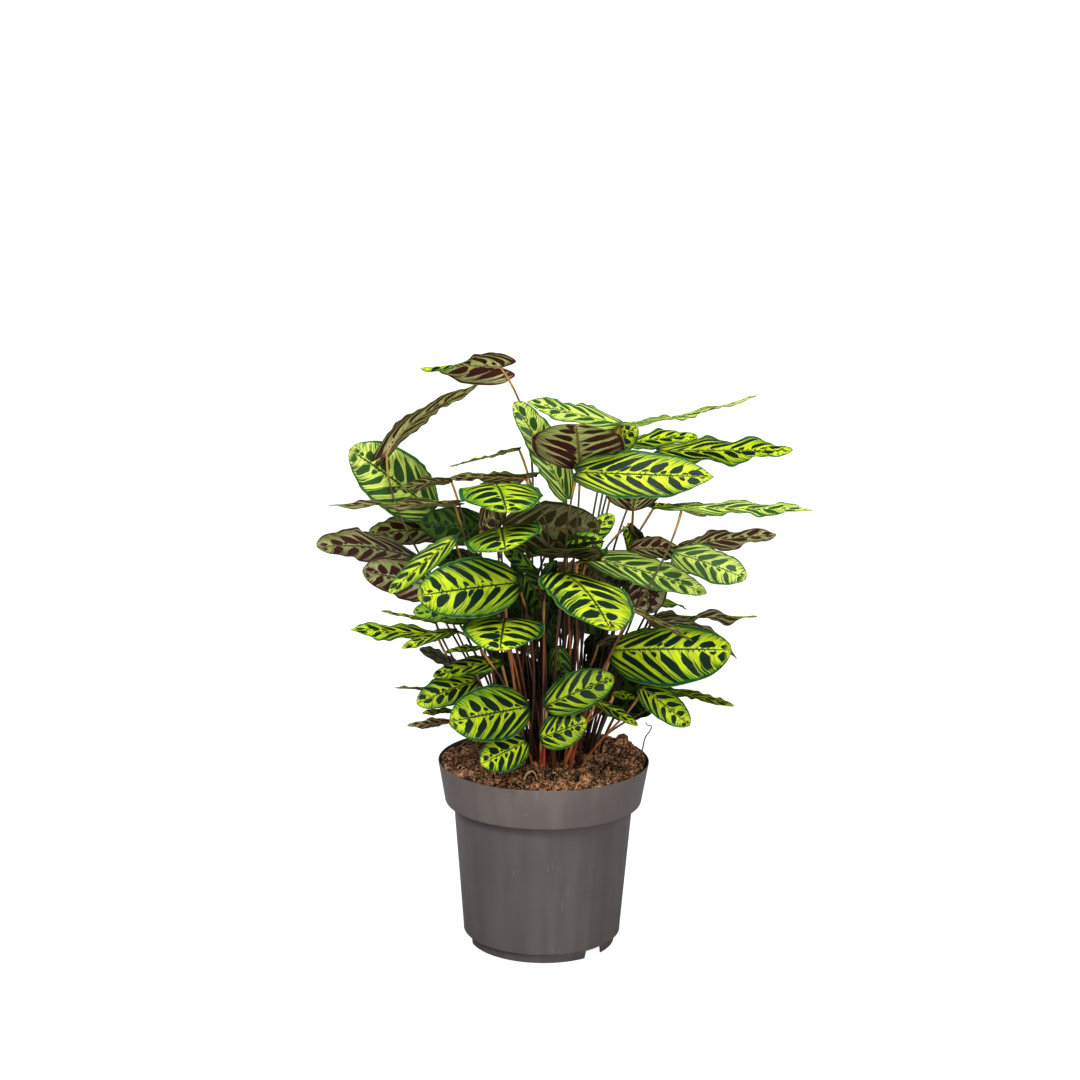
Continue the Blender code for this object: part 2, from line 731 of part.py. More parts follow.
def move_to(item, group):
    for old in list(item.users_collection):
        old.objects.unlink(item)
    group.objects.link(item)
    hide(item)


def make_soil(where, feet):
    gap = SEAT_GAP
    floor_top = FLOOR_UNDERSIDE + FLOOR_THICKNESS + gap
    inner = POT_WALL + gap
    profile = [
        *((r, SOIL_EDGE_HEIGHT) for r in (0.0, *reversed(SOIL_RINGS))),
        (RIM_RADIUS - POT_WALL - SOIL_EDGE_GAP, SOIL_EDGE_HEIGHT),
        (COLLAR_LOW_RADIUS - inner, COLLAR_LOW + STEP_RISE + gap),
        (WALL_TOP_RADIUS - inner, COLLAR_LOW + POT_WALL + gap),
        (LEDGE_RADIUS - inner, LEDGE_HEIGHT + FLOOR_ROUND),
        (LEDGE_RADIUS - POT_WALL - FLOOR_ROUND - gap, floor_top),
        (0, floor_top),
    ]
    soil = turned("soil", profile, where)
    soil = applied(soil, "soil", where)
    for vertex in soil.data.vertices:
        x, y, z = vertex.co
        if z > SOIL_EDGE_HEIGHT - 0.0001:
            vertex.co.z = soil_height(x, y)
    cutters = collection("soil cutters")
    hole = (PETIOLE_RADIUS + HOLE_SPARE) / math.cos(math.pi / 6)
    for x, y, z in feet:
        bottom = z - FOOT_RISE - ROOT_DEPTH - HOLE_SPARE
        height = 2 * ROOT_DEPTH
        bpy.ops.mesh.primitive_cylinder_add(
            vertices=6, radius=hole, depth=height, location=(x, y, bottom + height / 2)
        )
        move_to(bpy.context.object, cutters)
    boolean(soil, "DIFFERENCE", cutters)
    soil = applied(soil, "soil", where)
    empty_out(cutters)
    soil.data.materials.clear()
    soil.data.materials.append(material("peat", (0.055, 0.032, 0.022), 0.95))
    return soil


def make_blade(name, blade, where):
    """A waved sheet, given its thickness by Solidify."""
    cells = blade.cells()
    mesh = bpy.data.meshes.new(name)
    body = bmesh.new()
    bmesh.ops.create_grid(body, x_segments=cells[0], y_segments=cells[1], size=1)
    bmesh.ops.triangulate(body, faces=body.faces)
    for vertex in body.verts:
        s, t = vertex.co.x, (vertex.co.y + 1) / 2
        vertex.co = Vector(blade.points(np.array(s), np.array(t)))
    bmesh.ops.remove_doubles(body, verts=body.verts, dist=0.00002)
    body.to_mesh(mesh)
    body.free()
    sheet = add_object(name, mesh, where)
    thick = sheet.modifiers.new("Thickness", "SOLIDIFY")
    thick.thickness = BLADE_THICKNESS
    thick.offset = 0
    return applied(sheet, name, where)


def make_tube(name, points, radii, where):
    curve = bpy.data.curves.new(name, "CURVE")
    curve.dimensions = "3D"
    curve.bevel_depth = 1.0
    curve.bevel_resolution = 0
    curve.use_fill_caps = True
    curve.render_resolution_u = 0
    spline = curve.splines.new("POLY")
    spline.points.add(len(points) - 1)
    for target, point, radius in zip(spline.points, points, radii):
        target.co = (*point, 1)
        target.radius = radius
    return applied(add_object(name, curve, where), name, where, 0.00001)


def make_shoot(name, blades, paths, where):
    """One leaf, or two on one sheath, joined in one solid."""
    parts = collection("parts of " + name)
    for index, (blade, path) in enumerate(zip(blades, paths)):
        end = petiole_end(blade)[1]
        route = [*path, end]
        if index == 0:
            foot = path[0] - np.array((0, 0, FOOT_RISE + ROOT_DEPTH))
            route = [foot, *route]
        count = len(route)
        radii = np.linspace(PETIOLE_RADIUS, PETIOLE_TOP_RADIUS, count)
        if index > 0:
            radii = radii * BRANCH_SCALE
        make_blade(f"{name} blade {index}", blade, parts)
        make_tube(f"{name} petiole {index}", route, radii, parts)
    first, *rest = list(parts.objects)
    joined = collection("joined to " + name)
    for item in rest:
        parts.objects.unlink(item)
        joined.objects.link(item)
    boolean(first, "UNION", joined)
    shoot = applied(first, name, where)
    empty_out(joined)
    empty_out(parts)
    shoot.data.materials.clear()
    shoot.data.materials.append(leaf_material)
    return shoot


for old in list(bpy.data.objects):
    bpy.data.objects.remove(old)
plant = collection("potted calathea")
leaf_material = material("leaf green", (0.20, 0.33, 0.05), 0.4)
blades = settle_blades()
paths = grow_petioles(blades)
feet = [paths[name, 0][0] for name in SHOOTS]
make_pot(plant)
make_soil(plant, feet)
for name, leaves in SHOOTS.items():
    keys = [(name, index) for index in range(len(leaves))]
    make_shoot(name, [blades[key] for key in keys], [paths[key] for key in keys], plant)
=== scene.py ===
"""Potted calathea: the looks of its pot, soil and leaves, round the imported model."""

import json
import math
from collections import namedtuple

import bmesh
import bpy
import numpy as np
from mathutils import Matrix, Vector, noise
from mathutils.kdtree import KDTree

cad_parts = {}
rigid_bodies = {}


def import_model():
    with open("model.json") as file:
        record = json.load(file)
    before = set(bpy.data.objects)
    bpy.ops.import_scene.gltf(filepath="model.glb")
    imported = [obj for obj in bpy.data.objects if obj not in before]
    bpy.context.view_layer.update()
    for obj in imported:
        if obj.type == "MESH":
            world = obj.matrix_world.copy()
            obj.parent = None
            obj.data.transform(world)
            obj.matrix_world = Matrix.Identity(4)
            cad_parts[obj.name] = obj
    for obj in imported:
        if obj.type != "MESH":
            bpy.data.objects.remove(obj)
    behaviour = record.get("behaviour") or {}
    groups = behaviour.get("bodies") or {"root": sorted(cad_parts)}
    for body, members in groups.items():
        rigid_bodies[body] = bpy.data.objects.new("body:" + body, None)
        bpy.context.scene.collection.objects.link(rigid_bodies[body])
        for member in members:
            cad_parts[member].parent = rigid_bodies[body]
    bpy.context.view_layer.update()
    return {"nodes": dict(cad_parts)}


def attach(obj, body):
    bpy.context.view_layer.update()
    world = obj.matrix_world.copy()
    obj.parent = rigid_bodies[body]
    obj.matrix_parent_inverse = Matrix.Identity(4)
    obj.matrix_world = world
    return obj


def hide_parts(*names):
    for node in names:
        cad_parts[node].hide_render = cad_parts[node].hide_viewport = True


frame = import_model()
scene = bpy.context.scene
scene.view_settings.view_transform = "Standard"
scene.view_settings.look = "Medium High Contrast"

# Camera: a long lens in front, above the plant's top, pitched down to the pot and
# rolled a little.
camera_data = bpy.data.cameras.new("camera")
camera_data.sensor_width = 36
camera_data.lens = 79.9
camera = bpy.data.objects.new("camera", camera_data)
camera.location = (-0.008, -2.897, 1.134)
pitch = Matrix.Rotation(math.radians(78), 3, "X")
roll = Matrix.Rotation(math.radians(0.7), 3, "Z")
camera.rotation_euler = (pitch @ roll).to_euler()
scene.collection.objects.link(camera)
scene.camera = camera

# Studio: a plain pale floor, a white surround, and large soft lights in front, above
# and behind on both sides.
world = bpy.data.worlds.new("surround")
scene.world = world
world.use_nodes = True
sky = world.node_tree.nodes["Background"]
sky.inputs["Color"].default_value = (1, 1, 1, 1)
rays = world.node_tree.nodes.new("ShaderNodeLightPath")
strength = world.node_tree.nodes.new("ShaderNodeMapRange")
strength.inputs["To Min"].default_value = 0.01
strength.inputs["To Max"].default_value = 1.0
world.node_tree.links.new(rays.outputs["Is Camera Ray"], strength.inputs["Value"])
world.node_tree.links.new(strength.outputs["Result"], sky.inputs["Strength"])


class Value:
    """A node's output, with Python's operators for shader maths."""

    def __init__(self, finish, socket):
        self.finish = finish
        self.socket = socket

    def maths(self, operation, *others):
        return self.finish.add("ShaderNodeMath", {"operation": operation}, (self, *others))

    def __add__(self, other):
        return self.maths("ADD", other)

    def __sub__(self, other):
        return self.maths("SUBTRACT", other)

    def __mul__(self, other):
        return self.maths("MULTIPLY", other)

    def __truediv__(self, other):
        return self.maths("DIVIDE", other)

    def __rsub__(self, other):
        return self.finish.add("ShaderNodeMath", {"operation": "SUBTRACT"}, (other, self))

    __radd__ = __add__
    __rmul__ = __mul__

    def __abs__(self):
        return self.maths("ABSOLUTE")

    def __gt__(self, other):
        return self.maths("GREATER_THAN", other)

    def __lt__(self, other):
        return self.maths("LESS_THAN", other)

    def floor(self):
        return self.maths("FLOOR")

    def larger(self, other):
        return self.maths("MAXIMUM", other)

    def rise(self, start, end):
        """0 before start, 1 past end, and smooth between them."""
        return self.finish.add(
            "ShaderNodeMapRange", {"interpolation_type": "SMOOTHSTEP"}, (self, start, end)
        )


class Finish:
    """A material whose nodes are added one by one, with its Principled shader."""

    def __init__(self, name, roughness):
        self.material = bpy.data.materials.new(name)
        self.material.use_nodes = True
        self.tree = self.material.node_tree
        self.shader = self.tree.nodes["Principled BSDF"]
        self.shader.inputs["Roughness"].default_value = roughness

    def add(self, kind, settings=None, inputs=(), output=0):
        """A new node's output. inputs is a tuple in the sockets' order, or a dict."""
        made = self.tree.nodes.new(kind)
        for key, value in (settings or {}).items():
            setattr(made, key, value)
        pairs = inputs.items() if isinstance(inputs, dict) else enumerate(inputs)
        for key, value in pairs:
            self.feed(made.inputs[key], value)
        return Value(self, made.outputs[output])

    def feed(self, socket, value):
        """Links a value to a socket, or sets the socket to a number, colour or vector."""
        if isinstance(value, Value):
            self.tree.links.new(value.socket, socket)
        elif isinstance(value, tuple) and len(value) == 3 and socket.type == "RGBA":
            socket.default_value = (*value, 1)
        else:
            socket.default_value = value

    def place(self, output="Object"):
        """Where a point lies, on the object or, with UV, on its map."""
        return self.add("ShaderNodeTexCoord", output=output)

    def noise(self, vector, scale, detail=2.0, roughness=0.5):
        settings = {"Vector": vector, "Scale": scale, "Detail": detail, "Roughness": roughness}
        return self.add("ShaderNodeTexNoise", inputs=settings)

    def scaled(self, vector, factors):
        return self.add("ShaderNodeVectorMath", {"operation": "MULTIPLY"}, (vector, factors))

    def blend(self, factor, first, second):
        """Two colours mixed: all first at factor 0, all second at 1."""
        return self.add(
            "ShaderNodeMix", {"data_type": "RGBA"}, {0: factor, 6: first, 7: second}, 2
        )

    def parts(self, vector):
        """The x, y and z of a vector."""
        split = self.add("ShaderNodeSeparateXYZ", inputs=(vector,))
        return [Value(self, socket) for socket in split.socket.node.outputs]

    def bump(self, height, depth):
        """Feeds the shader's normal from a height of 0 to 1, depth metres tall."""
        made = self.add("ShaderNodeBump", inputs={"Distance": depth, "Height": height})
        self.feed(self.shader.inputs["Normal"], made)

    def mixed_with(self, other, share):
        """Mixes another shader in, by a share that may change over the surface."""
        mixed = self.add(
            "ShaderNodeMixShader", inputs=(share, Value(self, self.shader.outputs[0]), other)
        )
        self.feed(self.tree.nodes["Material Output"].inputs["Surface"], mixed)


# The floor turns white from under the pot outwards
FLOOR_BLENDS_FROM, FLOOR_BLENDS_TO = 0.10, 0.26
FLOOR_RADIUS = 30
FLOOR_SHADOW_GLOW = 0.78
bpy.ops.mesh.primitive_circle_add(vertices=96, radius=FLOOR_RADIUS, fill_type="NGON")
floor = bpy.context.object
floor.name = "floor"
pale = Finish("floor", 0.9)
seen = pale.add("ShaderNodeLightPath", output="Is Camera Ray")
shade = pale.blend(seen, (0.38, 0.38, 0.38), (0.92, 0.92, 0.92))
pale.feed(pale.shader.inputs["Base Color"], shade)
across, along, _ = pale.parts(pale.place())
distance = (across * across + along * along).maths("SQRT")
glow = pale.add("ShaderNodeEmission", inputs={"Color": (1, 1, 1, 1), "Strength": 1.0})
lifted = 0.22 * distance.rise(FLOOR_BLENDS_FROM, FLOOR_BLENDS_TO)
pale.mixed_with(glow, (FLOOR_SHADOW_GLOW + lifted) * seen)
floor.data.materials.append(pale.material)

# Each light's place and size are in metres and its power in watts
LIGHTS_AIM = (0, 0, 0.4)
for name, place, size, power in (
    ("key light", (-1.2, -1.9, 2.4), (0.9, 0.9), 53),
    ("front light", (0.9, -2.5, 1.0), (0.9, 0.9), 36),
    ("top light", (0.1, -0.4, 2.5), (1.2, 1.0), 44),
    ("left back light", (-1.8, 1.5, 1.7), (0.7, 1.2), 17),
    ("right back light", (1.9, 1.3, 1.7), (0.7, 1.2), 17),
):
    lamp = bpy.data.lights.new(name, "AREA")
    lamp.shape = "RECTANGLE"
    lamp.size, lamp.size_y = size
    lamp.energy = power
    holder = bpy.data.objects.new(name, lamp)
    holder.location = place
    towards_plant = Vector(LIGHTS_AIM) - Vector(place)
    holder.rotation_euler = towards_plant.to_track_quat("-Z", "Y").to_euler()
    scene.collection.objects.link(holder)

# Pot: one moulded shell of grey plastic, turned about its axis. Its foot ring has
# three gaps and its floor has drain holes. It is satin, with faint upright streaks
# from the mould, a few pale specks and scuffs, and soil dust on the ledges.
POT_STEPS = 160
POT_WALL = 0.0018

# Corners of the pot's outside, as radius and height
RIM = (0.1326, 0.2366)
COLLAR_LOW = (0.1240, 0.1838)
WALL_TOP = (0.1130, 0.1838)
LEDGE = (0.0990, 0.0135)
FOOT_TOP = (0.0930, 0.0117)
FOOT = (0.0922, 0.0)

FLOOR_UNDERSIDE = 0.0110
FLOOR_TOP = 0.0130
FLOOR_ROUND = 0.0036
SHOULDER_ROUND = 0.0026
STEP_RISE = 0.0029
FOOT_GAP_ANGLES = (45, 165, 280)
FOOT_GAP_SIZE = (0.030, 0.030, 0.0118)
FOOT_GAP_MIDDLE = 0.0039
FOOT_GAP_TAPER = 0.86
DRAIN_COUNT = 6
DRAIN_RADIUS = 0.0055
DRAIN_RING = 0.066


def corner_arc(centre, radius, start, end, steps=5):
    """Points of an arc about centre, with its angles in degrees from outwards, up."""
    return [
        (centre[0] + radius * math.cos(a), centre[1] + radius * math.sin(a))
        for a in np.radians(np.linspace(start, end, steps))
    ]


def turned(name, profile):
    """A smooth closed shell turned from (radius, height) points."""
    mesh = bpy.data.meshes.new(name)
    edges = [(i, i + 1) for i in range(len(profile) - 1)]
    mesh.from_pydata([(r, 0, z) for r, z in profile], edges, [])
    shell = bpy.data.objects.new(name, mesh)
    scene.collection.objects.link(shell)
    screw = shell.modifiers.new("turn", "SCREW")
    screw.steps = POT_STEPS
    screw.render_steps = POT_STEPS
    screw.use_merge_vertices = True
    screw.merge_threshold = 0.00001
    return made_plain(shell)


def made_plain(item):
    """The object with its modifiers applied, its doubles merged and faces outwards."""
    bpy.context.view_layer.update()
    graph = bpy.context.evaluated_depsgraph_get()
    mesh = bpy.data.meshes.new_from_object(item.evaluated_get(graph))
    item.modifiers.clear()
    body = bmesh.new()
    body.from_mesh(mesh)
    bmesh.ops.remove_doubles(body, verts=body.verts, dist=0.000002)
    bmesh.ops.recalc_face_normals(body, faces=body.faces)
    body.to_mesh(mesh)
    body.free()
    if item.type == "MESH":
        item.data = mesh
        return item
    plain = bpy.data.objects.new(item.name, mesh)
    scene.collection.objects.link(plain)
    bpy.data.objects.remove(item)
    return plain


lip = POT_WALL / 2
floor_edge = LEDGE[0] - POT_WALL - FLOOR_ROUND
# From the middle of the floor up the inside, over the rim and down the outside
pot_profile = [
    (0, FLOOR_TOP),
    (floor_edge, FLOOR_TOP),
    *corner_arc((floor_edge, LEDGE[1] + FLOOR_ROUND), FLOOR_ROUND, -80, -5, 4),
    (WALL_TOP[0] - POT_WALL, WALL_TOP[1] + POT_WALL),
    (COLLAR_LOW[0] - POT_WALL, COLLAR_LOW[1] + STEP_RISE),
    *corner_arc((RIM[0] - lip, RIM[1] - lip), lip, 180, 0, 9),
    *corner_arc(
        (COLLAR_LOW[0] - SHOULDER_ROUND, COLLAR_LOW[1] + SHOULDER_ROUND),
        SHOULDER_ROUND, -6, -90, 8,
    ),
    (WALL_TOP[0] + 0.0004, WALL_TOP[1]),
    (WALL_TOP[0], WALL_TOP[1] - 0.0005),
    (LEDGE[0] + 0.0004, LEDGE[1] + 0.0040),
    (LEDGE[0] + 0.0003, LEDGE[1] + 0.0006),
    (LEDGE[0] - 0.0002, LEDGE[1]),
    (FOOT_TOP[0] + 0.0009, FOOT_TOP[1] + 0.0003),
    (FOOT_TOP[0], FOOT_TOP[1] - 0.0006),
    (FOOT[0], 0.0006),
    (FOOT[0] - 0.0005, 0),
    (FOOT[0] - POT_WALL + 0.0005, 0),
    (FOOT[0] - POT_WALL, 0.0006),
    (FOOT_TOP[0] - 1.2 * POT_WALL, FLOOR_UNDERSIDE),
    (0, FLOOR_UNDERSIDE),
]
pot = turned("pot_shell", pot_profile)

cutters = bpy.data.collections.new("pot cutters")
scene.collection.children.link(cutters)


def cutter(item):
    """Moves a block or a rod to what is cut out of the pot."""
    for group in list(item.users_collection):
        group.objects.unlink(item)
    cutters.objects.link(item)


# The foot's gaps are narrower at the top, and the drain holes are plain and round
for angle in FOOT_GAP_ANGLES:
    a = math.radians(angle - 90)
    bpy.ops.mesh.primitive_cube_add(size=1)
    gap = bpy.context.object
    gap.scale = FOOT_GAP_SIZE
    gap.location = (FOOT_TOP[0] * math.cos(a), FOOT_TOP[0] * math.sin(a), FOOT_GAP_MIDDLE)
    gap.rotation_euler = (0, 0, a)
    for vertex in gap.data.vertices:
        if vertex.co.z > 0:
            vertex.co.y *= FOOT_GAP_TAPER
    cutter(gap)
for k in range(DRAIN_COUNT):
    a = 2 * math.pi * (k + 0.5) / DRAIN_COUNT
    bpy.ops.mesh.primitive_cylinder_add(
        vertices=32, radius=DRAIN_RADIUS, depth=0.02,
        location=(DRAIN_RING * math.cos(a), DRAIN_RING * math.sin(a), FLOOR_UNDERSIDE),
    )
    cutter(bpy.context.object)
cut = pot.modifiers.new("cut", "BOOLEAN")
cut.operation = "DIFFERENCE"
cut.solver = "EXACT"
cut.operand_type = "COLLECTION"
cut.collection = cutters
pot = made_plain(pot)
for item in list(cutters.objects):
    bpy.data.objects.remove(item)
bpy.data.collections.remove(cutters)


def dress(piece, finishes, *nodes, smooth_below=180):
    """Gives a finished piece its materials, body and the CAD nodes that it replaces."""
    slots = piece.data.materials
    for number, finish in enumerate(finishes):
        if number == len(slots):
            slots.append(None)
        slots[number] = finish.material
    piece.data.polygons.foreach_set("use_smooth", [True] * len(piece.data.polygons))
    if smooth_below < 180:
        piece.data.set_sharp_from_angle(angle=math.radians(smooth_below))
    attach(piece, "root")
    if nodes:
        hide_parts(*nodes)


plastic = Finish("grey pot plastic", 0.4)
spot = plastic.place()
_, _, height = plastic.parts(spot)
streaks = plastic.noise(plastic.scaled(spot, (60, 60, 1.6)), 1.0, 3.0)
cloud = plastic.noise(spot, 9.0, 3.0)
grain = plastic.noise(spot, 900.0, 2.0)
tone = streaks * 0.55 + cloud * 0.45
grey = plastic.blend(tone.rise(0.34, 0.68), (0.098, 0.084, 0.080), (0.127, 0.111, 0.105))

# Painted light: the collar is painted lighter, as it catches more light, and a painted shadow
# darkens the wall right under it
painted_collar_light = height.rise(COLLAR_LOW[1], COLLAR_LOW[1] + 0.004)
grey = plastic.blend(painted_collar_light, grey, plastic.scaled(grey, (1.26, 1.23, 1.21)))
painted_collar_shadow = height.rise(COLLAR_LOW[1] - 0.016, COLLAR_LOW[1] - 0.001) * height.rise(
    COLLAR_LOW[1] + 0.0005, COLLAR_LOW[1] - 0.0002
)
grey = plastic.blend(painted_collar_shadow * 0.35, grey, (0.030, 0.026, 0.025))

# Pale specks, short scuffs, and dust on the low ledge and just under the rim
flecks = plastic.add(
    "ShaderNodeTexVoronoi", inputs={"Vector": spot, "Scale": 85.0, "Randomness": 1.0}
)
fleck_pick = plastic.noise(spot, 31.0, 1.0).rise(0.60, 0.68)
fleck = flecks.rise(0.085, 0.04) * fleck_pick
scratch = plastic.noise(plastic.scaled(spot, (300, 300, 34)), 1.0, 0.0).rise(0.80, 0.86)
scratch = scratch * plastic.noise(spot, 14.0, 1.0).rise(0.52, 0.62)
dust_noise = plastic.noise(spot, 120.0, 4.0, 0.7)
low_ledge = height.rise(0.0185, 0.0115) * height.rise(0.008, 0.0125)
high_ledge = height.rise(0.2315, 0.2345) * 0.6
dust = low_ledge.larger(high_ledge) * dust_noise.rise(0.52, 0.66)
grey = plastic.blend(fleck * 0.75, grey, (0.36, 0.30, 0.24))
grey = plastic.blend(scratch * 0.35, grey, (0.30, 0.28, 0.26))
grey = plastic.blend(dust * 0.75, grey, (0.13, 0.075, 0.04))
plastic.feed(plastic.shader.inputs["Base Color"], grey)
plastic.feed(plastic.shader.inputs["Roughness"], 0.36 + tone * 0.12 + dust * 0.3 + fleck * 0.2)
plastic.bump(grain * 0.4 + streaks * 0.5 + dust * 0.6, 0.00012)
dress(pot, [plastic], "pot", smooth_below=32)

# Soil: peat that fills the pot, uneven on top and pressed against the wall. Brown
# crumbs, larger clods, bark chips and tan fibres lie loose all over its top.
SOIL_EDGE_HEIGHT = 0.2325
SOIL_CROWN = 0.0060
SOIL_LUMP = 0.0022
SOIL_RADIUS = 0.1298
SOIL_RINGS = 84
SOIL_STEPS = 220
SOIL_EDGE_GAP = 0.0006
PRESSED_EDGE = 0.012
BROAD_LUMPS = 0.0042
FINE_LUMPS = 0.0034
HIGHEST_SOIL = RIM[1] + 0.014
HEAP_HEIGHT = 0.0095
HEAP_PLACE = (0.085, 0.060)
HEAP_SIZE = (0.045, 0.050)


def soil_height(x, y):
    """Height of the packed soil's surface, in which the petioles stand."""
    radius = np.hypot(x, y)
    crown = SOIL_CROWN * (1 - (radius / RIM[0]) ** 2)
    lumps = np.sin(61 * x + 17 * y) * np.cos(53 * y - 11 * x) + 0.6 * np.sin(97 * y + 31 * x + 1)
    return SOIL_EDGE_HEIGHT + crown + SOIL_LUMP * lumps


def soil_relief(x, y):
    """Height of the loose peat on top, which is heaped up at the back right."""
    place = Vector((x, y, 0))
    broad = noise.fractal(place * 45, 0.9, 2.0, 3)
    fine = noise.fractal(place * 260, 0.7, 2.1, 4)
    inside = min(1.0, (SOIL_RADIUS - math.hypot(x, y)) / PRESSED_EDGE)
    off_x, off_y = (x - HEAP_PLACE[0]) / HEAP_SIZE[0], (y - HEAP_PLACE[1]) / HEAP_SIZE[1]
    heap = HEAP_HEIGHT * math.exp(-(off_x**2 + off_y**2))
    relief = BROAD_LUMPS * broad + FINE_LUMPS * abs(fine) + 0.0006 + heap
    return min(soil_height(x, y) + relief * (0.45 + 0.55 * inside), HIGHEST_SOIL)


def ring_of(body, radius, height_at):
    """A ring of new corners about the axis, with a height for each x and y."""
    ring = []
    for k in range(SOIL_STEPS):
        a = 2 * math.pi * k / SOIL_STEPS
        x, y = radius * math.cos(a), radius * math.sin(a)
        ring.append(body.verts.new((x, y, height_at(x, y))))
    return ring


def joined(body, rings):
    """Faces between each ring and the next."""
    for ring, after in zip(rings, rings[1:]):
        for k in range(SOIL_STEPS):
            j = (k + 1) % SOIL_STEPS
            body.faces.new((ring[k], after[k], after[j], ring[j]))


soil_body = bmesh.new()
radii = SOIL_RADIUS * np.linspace(0.008, 1, SOIL_RINGS) ** 0.9
top_rings = [ring_of(soil_body, radius, soil_relief) for radius in radii]
joined(soil_body, top_rings)
soil_body.faces.new(top_rings[0])
wall = POT_WALL + SOIL_EDGE_GAP
side_rings = [top_rings[-1]]
for radius, height in (
    (COLLAR_LOW[0] - wall, COLLAR_LOW[1] + 0.0035),
    (WALL_TOP[0] - wall, WALL_TOP[1] + wall),
    (LEDGE[0] - wall, LEDGE[1] + FLOOR_ROUND),
    (LEDGE[0] - wall - 0.0038, FLOOR_TOP + 0.0004),
):
    side_rings.append(ring_of(soil_body, radius, lambda x, y: height))
joined(soil_body, side_rings)
soil_body.faces.new(reversed(side_rings[-1]))
bmesh.ops.recalc_face_normals(soil_body, faces=soil_body.faces)
soil_mesh = bpy.data.meshes.new("soil_ball")
soil_body.to_mesh(soil_mesh)
soil_body.free()
soil = bpy.data.objects.new("soil_ball", soil_mesh)
scene.collection.objects.link(soil)


def tree_inputs(tree, numbers):
    """Named number inputs of a Geometry Nodes tree, after its geometry input."""
    tree.interface.new_socket("Geometry", in_out="INPUT", socket_type="NodeSocketGeometry")
    for name, value in numbers.items():
        made = tree.interface.new_socket(name, in_out="INPUT", socket_type="NodeSocketFloat")
        made.default_value = value
    tree.interface.new_socket("Geometry", in_out="OUTPUT", socket_type="NodeSocketGeometry")


def scatter_tree(name, grain, finish, sizes, seed):
    """A tree that strews copies of a grain over a surface. sizes are the count per square
    metre, the smallest and largest size and how rare the large ones are, how flat and
    warped each one is, and how far out they lie."""
    tree = bpy.data.node_groups.new(name, "GeometryNodeTree")
    tree_inputs(tree, sizes)

    def add(kind, settings=None, inputs=()):
        made = tree.nodes.new(kind)
        for key, value in (settings or {}).items():
            setattr(made, key, value)
        for key, value in dict(inputs).items():
            if isinstance(value, bpy.types.NodeSocket):
                tree.links.new(value, made.inputs[key])
            else:
                made.inputs[key].default_value = value
        return made

    def maths(operation, a, b):
        return add("ShaderNodeMath", {"operation": operation}, {0: a, 1: b}).outputs[0]

    def vector_maths(operation, a, b):
        second = "Scale" if operation == "SCALE" else 1
        made = add("ShaderNodeVectorMath", {"operation": operation}, {0: a, second: b})
        return made.outputs[0]

    def random_vector(low, high, own_seed):
        settings = {"data_type": "FLOAT_VECTOR"}
        made = add("FunctionNodeRandomValue", settings, {0: low, 1: high, "Seed": own_seed})
        return made.outputs[0]

    # Places on the soil's top, no further out than the reach
    given = add("NodeGroupInput").outputs
    spot = add("GeometryNodeInputPosition").outputs[0]
    height = add("ShaderNodeSeparateXYZ", inputs={0: spot}).outputs[2]
    high = maths("GREATER_THAN", height, SOIL_EDGE_HEIGHT - 0.006)
    level = vector_maths("MULTIPLY", spot, (1.0, 1.0, 0.0))
    distance = add("ShaderNodeVectorMath", {"operation": "LENGTH"}, {0: level}).outputs["Value"]
    on_top = maths("MULTIPLY", high, maths("LESS_THAN", distance, given["Reach"]))
    points = add(
        "GeometryNodeDistributePointsOnFaces",
        {"distribute_method": "RANDOM"},
        {
            "Mesh": given["Geometry"], "Selection": on_top, "Density": given["Density"],
            "Seed": seed,
        },
    ).outputs

    # The size, form and turn of each grain
    chance = add("FunctionNodeRandomValue", {"data_type": "FLOAT"}, {"Seed": seed + 1}).outputs[1]
    skewed = maths("POWER", chance, given["Rarity of large"])
    spread = maths("SUBTRACT", given["Largest"], given["Smallest"])
    size = maths("ADD", given["Smallest"], maths("MULTIPLY", spread, skewed))
    shape = random_vector((0.65, 0.65, 0.55), (1.25, 1.1, 1.0), seed + 2)
    flat = add("ShaderNodeCombineXYZ", inputs={0: 1.0, 1: 1.0, 2: given["Flatness"]}).outputs[0]
    scale = vector_maths("SCALE", vector_maths("MULTIPLY", shape, flat), size)
    turn = random_vector((-0.7, -0.7, 0.0), (0.7, 0.7, 6.283), seed + 3)
    strewn = add(
        "GeometryNodeInstanceOnPoints",
        inputs={
            "Points": points["Points"],
            "Instance": grain(add),
            "Rotation": turn,
            "Scale": scale,
        },
    ).outputs[0]

    # Each grain made real and warped by where it lies, so that no two are alike
    whole = add("GeometryNodeRealizeInstances", inputs={"Geometry": strewn}).outputs[0]
    wobble = add("ShaderNodeTexNoise", inputs={"Vector": spot, "Scale": given["Warp scale"]})
    centred = vector_maths("SUBTRACT", wobble.outputs[1], (0.5, 0.5, 0.5))
    offset = vector_maths("SCALE", centred, given["Warp"])
    warped = add("GeometryNodeSetPosition", inputs={"Geometry": whole, "Offset": offset})
    painted = add(
        "GeometryNodeSetMaterial",
        inputs={"Geometry": warped.outputs[0], "Material": finish.material},
    )
    out = add("NodeGroupOutput")
    tree.links.new(painted.outputs[0], out.inputs[0])
    return tree


def strewn_over(base, name, tree):
    """The plain mesh that a tree makes over a base object."""
    carrier = bpy.data.objects.new(name, base.data.copy())
    scene.collection.objects.link(carrier)
    carrier.modifiers.new("strew", "NODES").node_group = tree
    return made_plain(carrier)


def damp_patches(finish):
    """1 where the soil is damp and dark, about three centimetres across."""
    return finish.noise(finish.place(), 42.0, 3.0, 0.6).rise(0.45, 0.60)


